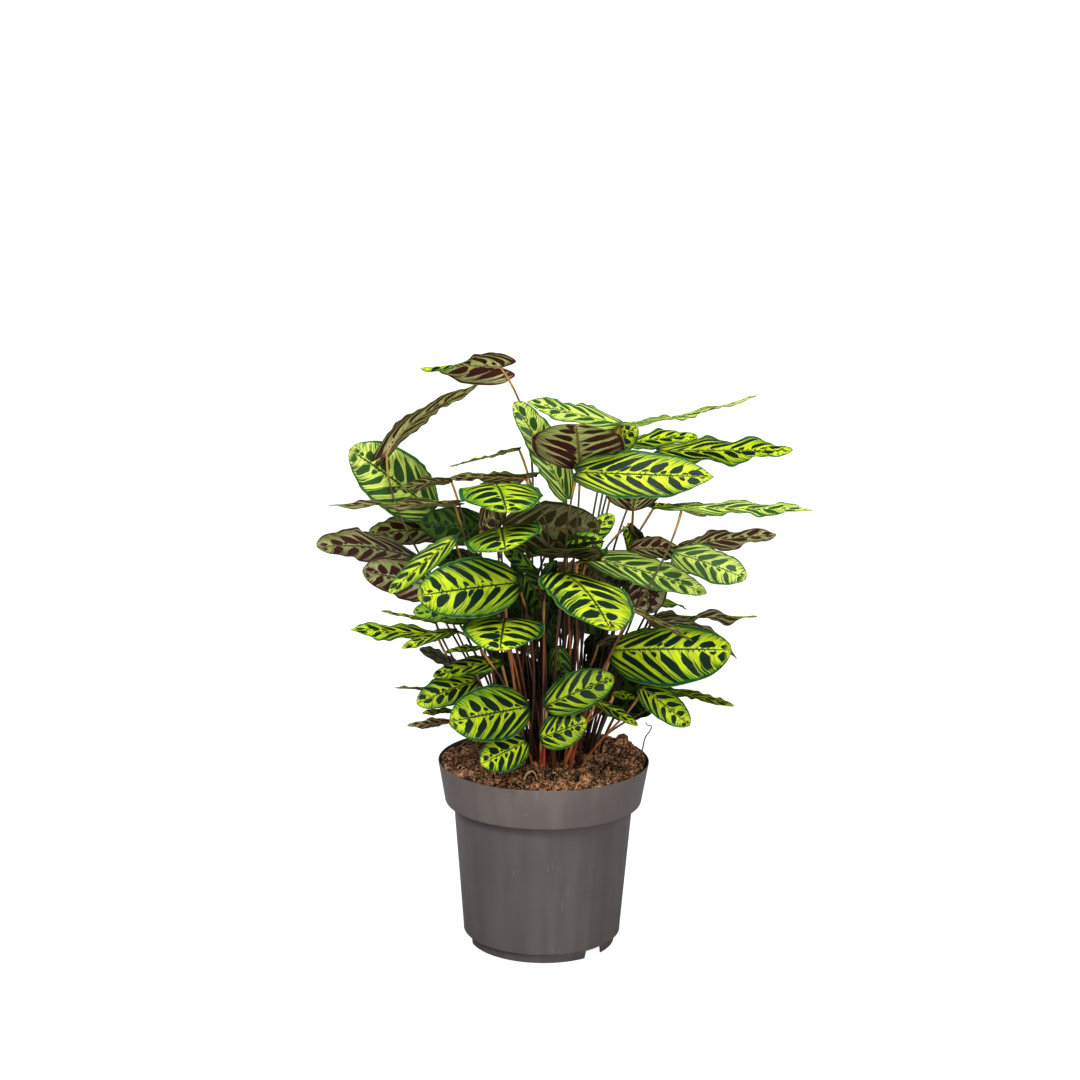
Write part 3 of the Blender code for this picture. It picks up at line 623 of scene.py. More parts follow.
peat = Finish("peat", 0.95)
spot = peat.place()
dark = peat.noise(spot, 60.0, 5.0, 0.7)
speckle = peat.noise(spot, 520.0, 3.0, 0.7)
brown = peat.blend(dark.rise(0.35, 0.65), (0.022, 0.011, 0.007), (0.13, 0.068, 0.037))
brown = peat.blend(speckle.rise(0.56, 0.74), brown, (0.34, 0.19, 0.10))
brown = peat.blend(damp_patches(peat) * 0.7, brown, (0.012, 0.007, 0.004))
peat.feed(peat.shader.inputs["Base Color"], brown)
peat.bump(speckle + dark * 0.6, 0.0012)
peat.shader.inputs["Specular IOR Level"].default_value = 0.25

crumbs = Finish("peat crumbs", 0.95)
spot = crumbs.place()
patch = crumbs.noise(spot, 330.0, 1.0)
speckle = crumbs.noise(spot, 1500.0, 2.0, 0.6)
brown = crumbs.blend(patch.rise(0.30, 0.70), (0.060, 0.030, 0.015), (0.62, 0.33, 0.170))
brown = crumbs.blend(speckle.rise(0.54, 0.74) * 0.8, brown, (0.78, 0.52, 0.30))
brown = crumbs.blend(damp_patches(crumbs) * 0.5, brown, (0.022, 0.012, 0.007))
crumbs.feed(crumbs.shader.inputs["Base Color"], brown)
crumbs.bump(speckle, 0.0004)
crumbs.shader.inputs["Specular IOR Level"].default_value = 0.25

bark = Finish("bark chips", 0.85)
spot = bark.place()
patch = bark.noise(spot, 210.0, 1.0)
line = bark.noise(bark.scaled(spot, (900, 260, 900)), 1.0, 2.0)
brown = bark.blend(patch.rise(0.35, 0.66), (0.20, 0.095, 0.045), (0.66, 0.40, 0.21))
brown = bark.blend(line.rise(0.55, 0.7) * 0.5, brown, (0.06, 0.03, 0.018))
bark.feed(bark.shader.inputs["Base Color"], brown)
bark.bump(line, 0.0003)

straw = Finish("tan fibres", 0.8)
patch = straw.noise(straw.place(), 180.0, 1.0)
straw.feed(
    straw.shader.inputs["Base Color"],
    straw.blend(patch.rise(0.35, 0.65), (0.30, 0.16, 0.075), (0.75, 0.54, 0.30)),
)


def crumb(add):
    """A rough little ball of twenty faces, for crumbs and bark."""
    return add("GeometryNodeMeshIcoSphere", inputs={"Radius": 1.0, "Subdivisions": 1}).outputs[0]


def clod(add):
    """A rounder ball, for the lumps of up to a centimetre."""
    return add("GeometryNodeMeshIcoSphere", inputs={"Radius": 1.0, "Subdivisions": 3}).outputs[0]


def fibre(add):
    """A thin bent strand."""
    line = add(
        "GeometryNodeCurveQuadraticBezier",
        inputs={
            "Resolution": 4, "Start": (-1, 0, 0), "Middle": (0.1, 0.7, 0.25), "End": (1, -0.1, 0.1),
        },
    ).outputs[0]
    ring = add("GeometryNodeCurvePrimitiveCircle", inputs={"Resolution": 4, "Radius": 0.055})
    swept = add(
        "GeometryNodeCurveToMesh",
        inputs={"Curve": line, "Profile Curve": ring.outputs[0], "Fill Caps": True},
    )
    return swept.outputs[0]


for name, grain, finish, seed, sizes in (
    ("soil_crumbs", crumb, crumbs, 3, {
        "Density": 105000.0, "Smallest": 0.0005, "Largest": 0.0034, "Rarity of large": 2.8,
        "Flatness": 0.85, "Warp scale": 420.0, "Warp": 0.0020, "Reach": 0.1275,
    }),
    ("soil_clods", clod, crumbs, 41, {
        "Density": 1700.0, "Smallest": 0.0026, "Largest": 0.0105, "Rarity of large": 1.8,
        "Flatness": 0.75, "Warp scale": 230.0, "Warp": 0.0060, "Reach": 0.121,
    }),
    ("soil_bark", crumb, bark, 11, {
        "Density": 12000.0, "Smallest": 0.0009, "Largest": 0.0036, "Rarity of large": 3.0,
        "Flatness": 0.5, "Warp scale": 260.0, "Warp": 0.0022, "Reach": 0.126,
    }),
    ("soil_fibres", fibre, straw, 23, {
        "Density": 15000.0, "Smallest": 0.0014, "Largest": 0.0062, "Rarity of large": 2.4,
        "Flatness": 0.9, "Warp scale": 150.0, "Warp": 0.0016, "Reach": 0.124,
    }),
):
    strewn = strewn_over(soil, name, scatter_tree(name, grain, finish, sizes, seed))
    dress(strewn, [finish], smooth_below=40)
dress(soil, [peat], "soil")

# Leaves: each is one thin blade on its own petiole, which stands in the soil, thickens
# into an orange knee under the blade and runs on as the midrib. Some come in pairs
# from one sheath.
Leaf = namedtuple("Leaf", "base tip width roll twist arch fold wave heart lean taper")


def leaf(
    base, tip, width, roll, twist=0, arch=0.03, fold=6, wave=0.03, heart=0.04, lean=0, taper=0.2
):
    """One leaf. base and tip are (across, up, away) in cm: across and up are read on
    the upright plane through the pot's axis, and away moves the point back along the
    line of sight. width is in cm; roll turns the blade about its length, in degrees,
    plus bringing its upper face to the front. arch, wave and heart are shares of its
    size, lean moves the arch towards the base, and taper, 0 to 1, sharpens the tip."""
    return Leaf(base, tip, width, roll, twist, arch, fold, wave, heart, lean, taper)


# Each node holds one leaf, or two whose petioles share a sheath
SHOOTS = {
    "leaf_top": [leaf((-5.7, 73.2, 5), (-15.6, 73, 3), 6.2, -32, 88, 0.04, -8, 0.03, 0.2)],
    "leaf_long_curl": [
        leaf((-19.9, 62.2, 4), (-5.9, 73, 5), 4.4, -30, 40, 0.06, 8, 0.05, 0.14, 1.2, 0.6),
    ],
    "leaf_bright_left": [
        leaf((-14, 55.4, 9), (-24.3, 62.9, 6), 8.6, 64, 0, 0.03, 8, 0.02),
        leaf((-11.7, 59.2, 5), (-18.8, 58, 4), 4, -30, 0, 0.02, 6, 0.05),
    ],
    "leaf_grey_left": [
        leaf((-11.2, 56.4, 0), (-27, 55.9, -2), 5, -22, 8, 0, 4, 0.07, 0.10, 0, 0.5),
    ],
    "leaf_dark_left": [leaf((-10.8, 53.2, 12), (-22, 52.3, 15), 6.4, -48, 0, 0.02)],
    "leaf_maroon_left": [leaf((-15.8, 49.2, 8), (-28.4, 50.6, 18), 7.2, -48, 0, 0.06, 6, 0.04)],
    "leaf_under_left": [leaf((-13, 45.4, 4), (-22.8, 47.6, 7), 6.6, -66, 0, 0.03)],
    "leaf_narrow_left": [leaf((-11.3, 52, -3), (-19.5, 44.8, -7), 3, 38, 0, 0.02, 6, 0.03)],
    "leaf_front_left": [leaf((-3.4, 46.4, -9), (-16, 44.5, -12), 7.6, 60, 0, 0.03, 6, 0.02)],
    "leaf_below_front_left": [leaf((-6, 43, -4), (-16.5, 42.4, -7), 5.2, 30, 0, 0.03, 4, 0.03)],
    "leaves_edge_left": [
        leaf((-13.3, 39.7, -3), (-24.3, 40.1, -6), 5, 10, 10, 0, 6, 0.06, 0.04, 0, 0.6),
        leaf((-13.5, 41.2, 0), (-20.5, 42.6, -1), 3, -5, 0, 0),
    ],
    "leaves_small_left": [
        leaf((-11, 40.2, -6), (-17.9, 37.8, -8), 2.6, 14),
        leaf((-8, 38, -7), (-12.6, 37.3, -8), 2.2, 5),
    ],
    "leaf_facing_low": [leaf((-5, 41.8, -8), (-5.6, 37.6, -17), 10, 0, 0, 0.07, 6, 0.03)],
    "leaves_low_left": [
        leaf((-8.5, 33.8, -6), (-16, 30.6, -9), 4.4, 42, 0, 0.04, 6, 0.03),
        leaf((-12, 32.6, -2), (-18.8, 32.7, -3), 2.5, -30, 30, 0, 6, 0.08),
    ],
    "leaves_mid_left": [
        leaf((-5.3, 36.2, -6), (-14, 34.2, -7), 4.3, 15, 0, 0.04, 6, 0.04),
        leaf((-9, 36.4, -3), (-11.8, 36, -3.5), 1.6, -30),
    ],
    "leaves_tiny_left": [
        leaf((-11.5, 29.8, -6), (-15.3, 29.4, -7), 2, 5),
        leaf((-11.8, 28.4, -4), (-17.2, 27.8, -5), 2.7, -40, 0, 0),
    ],
    "leaf_low_front": [leaf((-2.1, 30.4, -10), (-11.9, 28.3, -14), 7, 60, 0, 0.03, 4, 0.02)],
    "leaf_lowest": [leaf((-2.3, 25.9, -11), (-7.9, 22.8, -14.5), 4.8, 54, 0, 0.03, 4, 0.02)],
    "leaf_drooping_front": [
        leaf((2.3, 47.7, -9), (8.2, 40.3, -19), 12, -10, 0, 0.07, 4, 0.02, 0.03, 0, 0.3),
    ],
    "leaf_long_middle": [
        leaf((5, 49.8, -4), (20, 45.3, -9), 5.4, 28, 0, 0.03, 8, 0.03, 0.04, 0, 0.3),
    ],
    "leaf_big_right": [leaf((8.2, 37.9, -7), (23.3, 38.1, -11), 8.8, 50, 0, 0.02, -20, 0.02)],
    "leaves_behind_big": [
        leaf((13, 41.4, -1), (24, 36.9, -4), 5, -32, 0, 0.16, 4, 0.03),
        leaf((12.7, 42.2, 2), (26.4, 42.4, -1), 5.4, -24, 0, 0, 4, 0.12, 0.04, 0, 0.6),
    ],
    "leaf_narrow_right": [leaf((10.5, 43.3, -11), (18.4, 39.2, -14), 2.6, -35, 0, 0.02, 4, 0.03)],
    "leaf_hanging_right": [leaf((12.1, 48.2, 0), (12.8, 42.6, 3), 5.2, 0, 0, 0.05, 6, 0.03)],
    "leaves_maroon_right": [
        leaf((10.6, 50.9, 2), (16.8, 50.7, 0), 5.2, -45),
        leaf((10.2, 50.5, 3), (9.4, 53.8, 3), 1.8, 60, 0, 0, 50, 0.03, 0.02, 0, 0.8),
    ],
    "leaf_long_right": [
        leaf((16.4, 56.2, -8), (32.8, 56, -16), 5, 8, 0, 0, 6, 0.06, 0.12, 0.8, 0.6),
    ],
    "leaf_under_right": [
        leaf((16.6, 51.2, 2), (28.4, 52.9, 0), 5.4, -36, 0, 0.02, 4, 0.07, 0.04, 0, 0.4),
    ],
    "leaf_crinkled_right": [
        leaf((15.8, 50.4, -3), (24.8, 47.2, -7), 5.2, 36, 0, 0.04, 4, 0.06, 0.04, 0, 0),
    ],
    "leaves_low_right": [
        leaf((12, 33.2, -7), (18.3, 28.2, -11), 3.9, 42, 0, 0.04, 4, 0.04),
        leaf((15, 32.9, -3), (23.8, 30.8, -7), 2.8, 3, 0, 0.02),
    ],
    "leaf_centre_low": [leaf((0.2, 30.6, -11), (8.7, 34.4, -12), 5.2, 58, 0, 0.03, 6, 0.02)],
    "leaf_centre_lowest": [leaf((-0.4, 26.3, -12), (5.4, 28.6, -13), 4.8, 55, 0, 0.03, 6, 0.02)],
    "leaf_dark_centre": [leaf((-5.3, 53.2, 3), (6.7, 53.4, 4), 8, -70, 0, 0, 4, 0.02)],
    "leaf_facing_middle": [leaf((-5.6, 53.4, -7), (-5, 50.4, -16), 9.4, 14, 0, 0.05, 4, 0.03)],
    "leaf_facing_upper": [leaf((-6.3, 58.8, -5), (-4.9, 55.2, -14), 10.2, 0, 0, 0.06, 4, 0.03)],
    "leaves_arched_upper": [
        leaf((-2.6, 59.6, -2), (-12, 59.5, -2), 5, -24, 0, 0.02, 4, 0.04),
        leaf((-3.4, 63.3, 6), (-12.1, 60.9, 5), 3, -12, 20, 0, 6, 0.06),
    ],
    "leaf_red_behind": [leaf((-8.3, 52.9, 1), (-5, 56.8, 4), 8, -66, 0, 0.03, 4, 0.02)],
    "leaf_tall_folded": [leaf((2.5, 57, 5), (-4.2, 69, 4), 6, 50, 0, 0.02, 20, 0.03, 0.04, 0, 0)],
    "leaf_rising_centre": [leaf((4, 60.8, 1), (3.4, 66.4, -7), 11.6, 0, 0, 0.05, 6, 0.02)],
    "leaf_upper_right": [
        leaf((3.5, 60.4, -4), (20.5, 60, -8), 6.6, 50, 0, 0, 4, 0.04, 0.04, 0, 0.8),
    ],
    "leaf_rising_right": [leaf((10.6, 55.6, 2), (11.4, 59.2, -6), 8.4, 0, 0, 0.05, 20, 0.03)],
    "leaves_top_right": [
        leaf((9, 66.4, 10), (-2.6, 69, 8), 4.9, 26, 0, 0, 6, 0.06),
        leaf((8.5, 66.4, 10), (25.5, 70.2, 3), 4, 4, 0, -0.03, 4, 0.07, 0.05, 0, 0.6),
    ],
    "leaves_upper_back": [
        leaf((6.8, 62.8, 11), (10.9, 66.3, 12), 4, 60),
        leaf((9, 63.8, 14), (18.4, 65, 13), 5, 16, 0, 0.04, 4, 0.05),
    ],
    "leaf_wavy_right": [
        leaf((13.4, 63.2, 12), (30.1, 63.5, 5), 5.8, 24, 0, 0, 4, 0.10, 0.04, 0, 0.5),
    ],
    "leaves_small_centre": [
        leaf((4.6, 51.6, 6), (8.3, 55.1, 7), 3, 50),
        leaf((2.5, 50.5, 2), (7, 52, 3), 4, 45),
    ],
    "leaf_above_drooping": [leaf((2.4, 49.6, -4), (2.7, 50.7, -14), 10, 0, 0, 0.03, 4, 0.06)],
    "leaves_inner_left": [
        leaf((-0.9, 47.5, -6), (-5.3, 50.6, -6), 2.4, 40, 50),
        leaf((-2.6, 47.4, -2), (0, 42.8, -4), 4, 20),
    ],
    "leaves_inner_right": [
        leaf((1.5, 38.3, -3), (2.3, 32.8, -5), 3, 10),
        leaf((6.5, 38.6, -3), (10.5, 39.5, -2), 3, -40),
    ],
    "leaves_tiny_right": [
        leaf((6.4, 31.2, -8), (11.8, 28.1, -10), 2.4, 12),
        leaf((8.5, 32.4, -5), (11.4, 31.6, -6), 2, 10),
    ],
    "leaves_back_left": [
        leaf((-8, 44, 9), (-15, 42.5, 17), 7, 10, 0, 0.08),
        leaf((-8, 54, 12), (-15, 53.3, 18), 6.5, -10, 0, 0.06),
    ],
    "leaves_back_right": [
        leaf((9, 44, 8), (17, 43.5, 17), 7, 10, 0, 0.08),
        leaf((10, 50, 9), (18, 50.5, 17), 6, -10, 0, 0.06),
    ],
    "leaves_back_centre": [
        leaf((-3, 48, 8), (-6, 45, 19), 8, 0, 0, 0.08),
        leaf((-2.5, 60, 9), (-7, 57, 19), 7, 0, 0, 0.08),
    ],
    "leaves_back_upper": [
        leaf((3, 49, 12), (3, 47, 19), 7.5, 0, 0, 0.08),
        leaf((13, 56, 11), (19, 55, 18), 7, 0, 0, 0.08),
    ],
    "leaves_back_low": [
        leaf((-6, 35, 9), (-11, 32.5, 17), 6, 0, 0, 0.08),
        leaf((-1, 38, 9), (1, 36, 19), 8, 0, 0, 0.08),
    ],
    "leaves_back_lowest": [
        leaf((6, 35, 9), (11, 33, 17), 6, 0, 0, 0.08),
        leaf((2, 31, 10), (3, 29.5, 18), 5.5, 0, 0, 0.08),
    ],
}


def in_place(across, up, away):
    """The point, in metres, that is seen at across, up (cm) and lies away (cm) behind."""
    reach = 1 - away / 100 / camera.location.y
    return np.array((
        camera.location.x + (across / 100 - camera.location.x) * reach,
        away / 100,
        camera.location.z + (up / 100 - camera.location.z) * reach,
    ))


def unit(vector):
    return vector / np.linalg.norm(vector)


class Blade:
    """A leaf's blade between two points, in metres."""

    def __init__(self, leaf_data, base, tip):
        self.data = leaf_data
        self.base = base
        self.tip = tip
        self.length = np.linalg.norm(self.tip - self.base)
        self.width = leaf_data.width / 100
        self.along = (self.tip - self.base) / self.length
        self.up = unit(np.array((0, 0, 1)) - self.along[2] * self.along)
        side = 1 if self.along[0] >= 0 else -1
        self.toward = side * np.cross(self.along, self.up)

    def axes(self, t):
        """The directions across and out of the blade at t."""
        turn = np.radians(self.data.roll + self.data.twist * (t - 0.5))[..., None]
        across = np.cos(turn) * self.toward - np.sin(turn) * self.up
        out = np.cos(turn) * self.up + np.sin(turn) * self.toward
        return across, out

    def midrib(self, t):
        """The midrib's points at t, 0 to 1 along it, arched as the leaf's data say."""
        _, out = self.axes(np.full_like(t, 0.5))
        rise = 4 * self.data.arch * self.length * t * (1 - t)
        rise = rise * (1 + self.data.lean * (1 - 2 * t))
        return self.base + self.along * (self.length * t)[..., None] + out * rise[..., None]

    def half_width(self, t):
        """An oval's half width at t, drawn in towards the tip by the taper."""
        reach = 0.06 + 0.94 * t**0.94
        oval = np.clip(4 * reach * (1 - reach), 0, 1)
        return self.width / 2 * oval ** (0.5 + 0.5 * self.data.taper * t * t)

    def points(self, s, t):
        """Points of the blade at s, -1 to 1 across it, and t, 0 to 1 along it."""
        data = self.data
        across, out = self.axes(t)
        half = self.half_width(t)
        edge = np.abs(s)
        fold = math.radians(data.fold)
        crests = 1.5 + self.length / 0.045
        phase = np.where(s > 0, 0.0, 1.9) + 9 * self.base[0] + 40 * self.base[2]
        ripple = np.sin(2 * np.pi * crests * t / 2 + phase) * np.sin(np.pi * t) ** 0.5
        lift = half * edge * math.sin(fold) - 0.10 * half * edge**2
        lift = lift + data.wave * self.width * edge**2 * ripple
        back = (1 - t) ** 3 * self.length * (0.07 * s * s - data.heart * np.sin(2.2 * edge))
        return (
            self.midrib(t)
            + across * (half * s * math.cos(fold))[..., None]
            + out * lift[..., None]
            + self.along * back[..., None]
        )

    def cells(self):
        """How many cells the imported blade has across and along."""
        return (4 if self.width > 0.042 else 2), max(3, min(7, round(self.length / 0.023)))


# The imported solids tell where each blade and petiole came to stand: of the places and
# routes that the model tried, the one whose points lie nearest to the node's corners
SET_BACK_STEP = 0.4
SET_BACKS = 60
FOOT_RISE = 0.004
PETIOLE_TOP_RADIUS = 0.0013
JOINED_FROM = 0.015
UPRIGHT_START = 0.9
START_PULL = 0.4
JOINT_PULL = 0.28
JOINT_SWAY = 0.4
PETIOLE_SHARES = np.linspace(0, 1, 7) ** 0.85
SWAYS = [np.zeros(3)] + [
    np.array((math.cos(a), math.sin(a), 0)) * size
    for size in (0.012, 0.025, 0.04, 0.06)
    for a in np.radians((0, 60, 120, 180, 240, 300))
]
KNEES = (0.35, 0.8, 0.1, 1.6)
BRANCH_HEIGHTS = (0.018, 0.030, 0.042, 0.060)
SAMPLE_STEP = 0.004


def corner_tree(node):
    """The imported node's corners, to look up the nearest of them."""
    corners = frame["nodes"][node].data.vertices
    tree = KDTree(len(corners))
    for number, corner in enumerate(corners):
        tree.insert(corner.co, number)
    tree.balance()
    return tree


def misfit(tree, points):
    """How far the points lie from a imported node's corners on the mean."""
    return sum(tree.find(Vector(p))[2] for p in points) / len(points)


def set_back(leaf_data, distance):
    """The leaf's blade, set back by some cm along the line of sight."""
    ends = [in_place(*end[:2], end[2] + distance) for end in (leaf_data.base, leaf_data.tip)]
    return Blade(leaf_data, *ends)


def settled(leaf_data, tree):
    """The leaf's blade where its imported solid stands."""

    def packed_misfit(blade):
        across, along = blade.cells()
        s, t = np.meshgrid(np.linspace(-1, 1, across + 1), np.linspace(0, 1, along + 1))
        return misfit(tree, blade.points(s.ravel(), t.ravel()))

    blades = [set_back(leaf_data, SET_BACK_STEP * k) for k in range(SET_BACKS)]
    return min(blades, key=packed_misfit)


def petiole_curve(start, blade, sway, knee):
    """The four control points of a petiole from start to its blade's joint."""
    out = blade.axes(np.array(0.1))[1]
    joint = blade.midrib(np.array(JOINED_FROM)) - out * PETIOLE_TOP_RADIUS * 0.9
    rise = np.linalg.norm(joint - start)
    leave = unit(joint - start + np.array((0, 0, UPRIGHT_START * rise)))
    arrive = unit(np.array((0, 0, 1.0)) + knee * blade.along)
    return (
        start,
        start + leave * START_PULL * rise + sway,
        joint - arrive * JOINT_PULL * rise + sway * JOINT_SWAY,
        joint,
    )


def bezier(controls, t):
    """The curve's points at t, 0 to 1 along it."""
    a, b, c, d = controls
    t = t[:, None]
    return (1 - t) ** 3 * a + 3 * (1 - t) ** 2 * t * b + 3 * (1 - t) * t * t * c + t**3 * d


def route(starts, blade, tree):
    """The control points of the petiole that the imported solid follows."""
    choices = [
        petiole_curve(np.array(start), blade, sway, knee)
        for start in starts
        for sway in SWAYS
        for knee in KNEES
    ]

    def packed_misfit(controls):
        return misfit(tree, bezier(controls, PETIOLE_SHARES)[2:6])

    return min(choices, key=packed_misfit)


def foot_of(node):
    """Where the node's first petiole leaves the soil."""
    corners = np.array([corner.co for corner in frame["nodes"][node].data.vertices])
    low = corners[corners[:, 2] < corners[:, 2].min() + 0.0001]
    x, y = (low[:, :2].min(axis=0) + low[:, :2].max(axis=0)) / 2
    return x, y, soil_height(x, y) + FOOT_RISE


def branch_starts(controls):
    """Places on the first petiole that a second one may leave it from."""
    path = bezier(controls, PETIOLE_SHARES)
    spots = []
    for a, b in zip(path, path[1:]):
        count = max(1, int(np.linalg.norm(b - a) / SAMPLE_STEP))
        spots += [a + (b - a) * k / count for k in range(count)]
    return [spots[int(height / SAMPLE_STEP)] for height in BRANCH_HEIGHTS]


# Side veins leave the midrib and sweep towards the tip, and between each two of them
# the blade is pleated and carries one blotch on each side
BLADE_CELLS = (22, 60)
INNER_CELLS = (14, 34)
BLADE_THICKNESS = 0.00045
BLOTS_AT_LEAST = 3.0
BLOT_SPACING = 0.050
VEIN_SWEEP = (0.27, 0.19)
SIDE_SHIFT = 0.17
PLEAT = 0.00035
MIDRIB_GROOVE = 0.0005
RUFFLE = 0.0016
RUFFLE_SPACING = 0.019


def grid_triangles(start, across, along, flipped):
    """A grid's triangles, split alike on both sheets of a blade so that they can't cross."""
    triangles = []
    for j in range(along):
        for i in range(across):
            a = start + j * (across + 1) + i
            for three in ((a, a + 1, a + across + 2), (a, a + across + 2, a + across + 1)):
                triangles.append(three[::-1] if flipped else three)
    return triangles


class LeafMesh:
    """Gathers the blades and petioles of one shoot in one mesh."""

    def __init__(self):
        self.points, self.faces, self.slots, self.maps = [], [], [], []
        self.seeds, self.counts, self.tones_and_painted_light = [], [], []

    def add(self, points, faces, slots, uv, seed, count, tone):
        """One closed body. Its faces' slots are 0 for the blade's upper finish, 1 for the
        lower and 2 for the stalk's, and seed, count and tone are what the finishes read, tone
        also carrying the painted light and shade of the leaf."""
        start = len(self.points)
        self.points += [tuple(p) for p in points]
        self.faces += [tuple(start + k for k in face) for face in faces]
        self.slots += slots
        self.maps += [tuple(p) for p in uv]
        self.seeds += [seed] * len(points)
        self.counts += [count] * len(points)
        self.tones_and_painted_light += [tone] * len(points)

    def made(self, name):
        """All that was gathered, as one object."""
        mesh = bpy.data.meshes.new(name)
        mesh.from_pydata(self.points, [], self.faces)
        mesh.polygons.foreach_set("material_index", self.slots)
        layer = mesh.uv_layers.new(name="leaf_map")
        corners = np.empty(len(mesh.loops), np.int32)
        mesh.loops.foreach_get("vertex_index", corners)
        layer.data.foreach_set("uv", np.array(self.maps)[corners].ravel())
        for key, values in (
            ("leaf_seed", self.seeds), ("blot_count", self.counts), ("leaf_tone_and_painted_light", self.tones_and_painted_light)
        ):
            mesh.attributes.new(key, "FLOAT", "POINT").data.foreach_set("value", values)
        body = bmesh.new()
        body.from_mesh(mesh)
        bmesh.ops.remove_doubles(body, verts=body.verts, dist=0.000001)
        body.to_mesh(mesh)
        body.free()
        made = bpy.data.objects.new(name, mesh)
        scene.collection.objects.link(made)
        return made


def add_blade(gathered, blade, cells, seed, tone):
    """The blade as a thin closed sheet: an upper and a lower face and a rim."""
    across, along = cells
    s_line = np.sin(np.linspace(-np.pi / 2, np.pi / 2, across + 1) * 0.86) / math.sin(0.43 * np.pi)
    t_line = np.linspace(0, 1, along + 1)
    s, t = np.meshgrid(s_line, t_line)
    middle = blade.points(s, t)
    normal = np.cross(np.gradient(middle, axis=1), np.gradient(middle, axis=0))
    size = np.linalg.norm(normal, axis=2, keepdims=True)
    normal = normal / np.maximum(size, 1e-12)
    _, out = blade.axes(t)
    turned_over = np.sum(normal * out) < 0
    if turned_over:
        normal = -normal

    # Pleats between the side veins, a groove over the midrib and a ruffled margin
    edge = np.abs(s)
    count = BLOTS_AT_LEAST + blade.length / BLOT_SPACING
    sweep = VEIN_SWEEP[0] * edge + VEIN_SWEEP[1] * edge**2
    phase = (t - sweep) / (1 - sweep) * count + SIDE_SHIFT * (s > 0) + 7 * seed
    pleats = np.cos(2 * np.pi * phase)
    relief = PLEAT * pleats * edge * (1 - t) ** 0.3 * np.sin(np.pi * np.clip(t, 0.02, 1)) ** 0.5
    relief = relief - MIDRIB_GROOVE * np.exp(-((edge / 0.05) ** 2))
    crests = blade.length / RUFFLE_SPACING
    uneven = t + 0.04 * np.sin(5 * t + 20 * seed)
    turn = 2 * np.pi * crests * uneven + np.where(s > 0, 9.0, 31.0) * seed
    strength = 0.55 + 0.45 * np.sin(2 * np.pi * (1.3 * t + 7 * seed + 0.4 * (s > 0)))
    relief = relief + RUFFLE * strength * edge**4 * np.sin(turn) * np.sin(np.pi * t) ** 0.7
    middle = middle + normal * relief[..., None]

    half = 0.5 * BLADE_THICKNESS * (1 - 0.45 * edge**4)[..., None]
    upper = (middle + normal * half).reshape(-1, 3)
    lower = (middle - normal * half).reshape(-1, 3)
    uv = np.stack((s.ravel() * 0.5 + 0.5, t.ravel()), axis=1)
    points = len(upper)
    top_faces = grid_triangles(0, across, along, turned_over)
    low_faces = grid_triangles(points, across, along, not turned_over)
    row = across + 1
    # The corners round the margin, one after the other
    loop = (
        [k for k in range(across)]
        + [j * row + across for j in range(along)]
        + [along * row + across - k for k in range(across)]
        + [(along - j) * row for j in range(along)]
    )
    rim = []
    for a, b in zip(loop, loop[1:] + loop[:1]):
        quad = (a, a + points, b + points, b)
        rim.append(quad[::-1] if turned_over else quad)
    gathered.add(
        np.concatenate((upper, lower)),
        top_faces + low_faces + rim,
        [0] * len(top_faces) + [1] * len(low_faces) + [0] * len(rim),
        np.concatenate((uv, uv)),
        seed, count, tone,
    )


STALK_SIDES = 8
STALK_PARTS = 34
RIB_PARTS = 26
ROOT_DEPTH = 0.016

# The stalk's radius by how far below the blade's joint it is: thickest at the knee,
# thin right under it and thicker again towards the soil
BELOW_JOINT = (-0.01, 0, 0.006, 0.022, 0.034, 0.2, 0.45)
STALK_RADII = (0.0012, 0.0014, 0.0017, 0.0016, 0.00125, 0.0016, 0.0019)
FOOT_SWELL = 1.45


def add_tube(gathered, path, radii, lengths, seed, tone):
    """A round stalk along the path. Its map runs round it and along, in metres."""
    tangents = np.gradient(path, axis=0)
    tangents /= np.linalg.norm(tangents, axis=1, keepdims=True)
    side = unit(np.cross(tangents[0], (0.3, 1, 0.2)))
    points, uv = [], []
    for place, tangent, radius, length in zip(path, tangents, radii, lengths):
        side = unit(side - np.dot(side, tangent) * tangent)
        other = np.cross(tangent, side)
        for k in range(STALK_SIDES):
            a = 2 * math.pi * k / STALK_SIDES
            points.append(place + radius * (math.cos(a) * side + math.sin(a) * other))
            uv.append((k / STALK_SIDES, length))
    faces = [tuple(reversed(range(STALK_SIDES)))]
    for low in range(0, len(points) - STALK_SIDES, STALK_SIDES):
        high = low + STALK_SIDES
        for k in range(STALK_SIDES):
            n = (k + 1) % STALK_SIDES
            faces.append((low + k, low + n, high + n, high + k))
    faces.append(tuple(range(len(points) - STALK_SIDES, len(points))))
    gathered.add(points, faces, [2] * len(faces), uv, seed, 1.0, tone)


def add_petiole(gathered, blade, controls, rooted, seed, tone):
    """The petiole, its knee under the blade, and the midrib on the blade's lower face."""
    stalk = bezier(controls, np.linspace(0, 1, STALK_PARTS) ** 0.9)
    if rooted:
        stalk = np.concatenate((stalk[:1] - (0, 0, ROOT_DEPTH), stalk))
    t = np.linspace(0.03, 0.985, RIB_PARTS)
    out = blade.axes(t)[1]
    rib_radius = np.interp(t, (0, 0.12, 1), (0.0013, 0.00085, 0.0002))
    rib = blade.midrib(t) - out * (0.0005 + 0.9 * rib_radius)[:, None]
    path = np.concatenate((stalk, rib))
    steps = np.linalg.norm(np.diff(path, axis=0), axis=1)
    run = np.concatenate(([0], np.cumsum(steps)))
    below = run[len(stalk) - 1] - run
    radii = np.interp(below, BELOW_JOINT, STALK_RADII)
    radii[len(stalk):] = np.minimum(radii[len(stalk):], rib_radius)
    if rooted:
        radii = radii * np.interp(path[:, 2], (SOIL_EDGE_HEIGHT, 0.29), (FOOT_SWELL, 1.0))
    add_tube(gathered, path, radii, below, seed, tone)


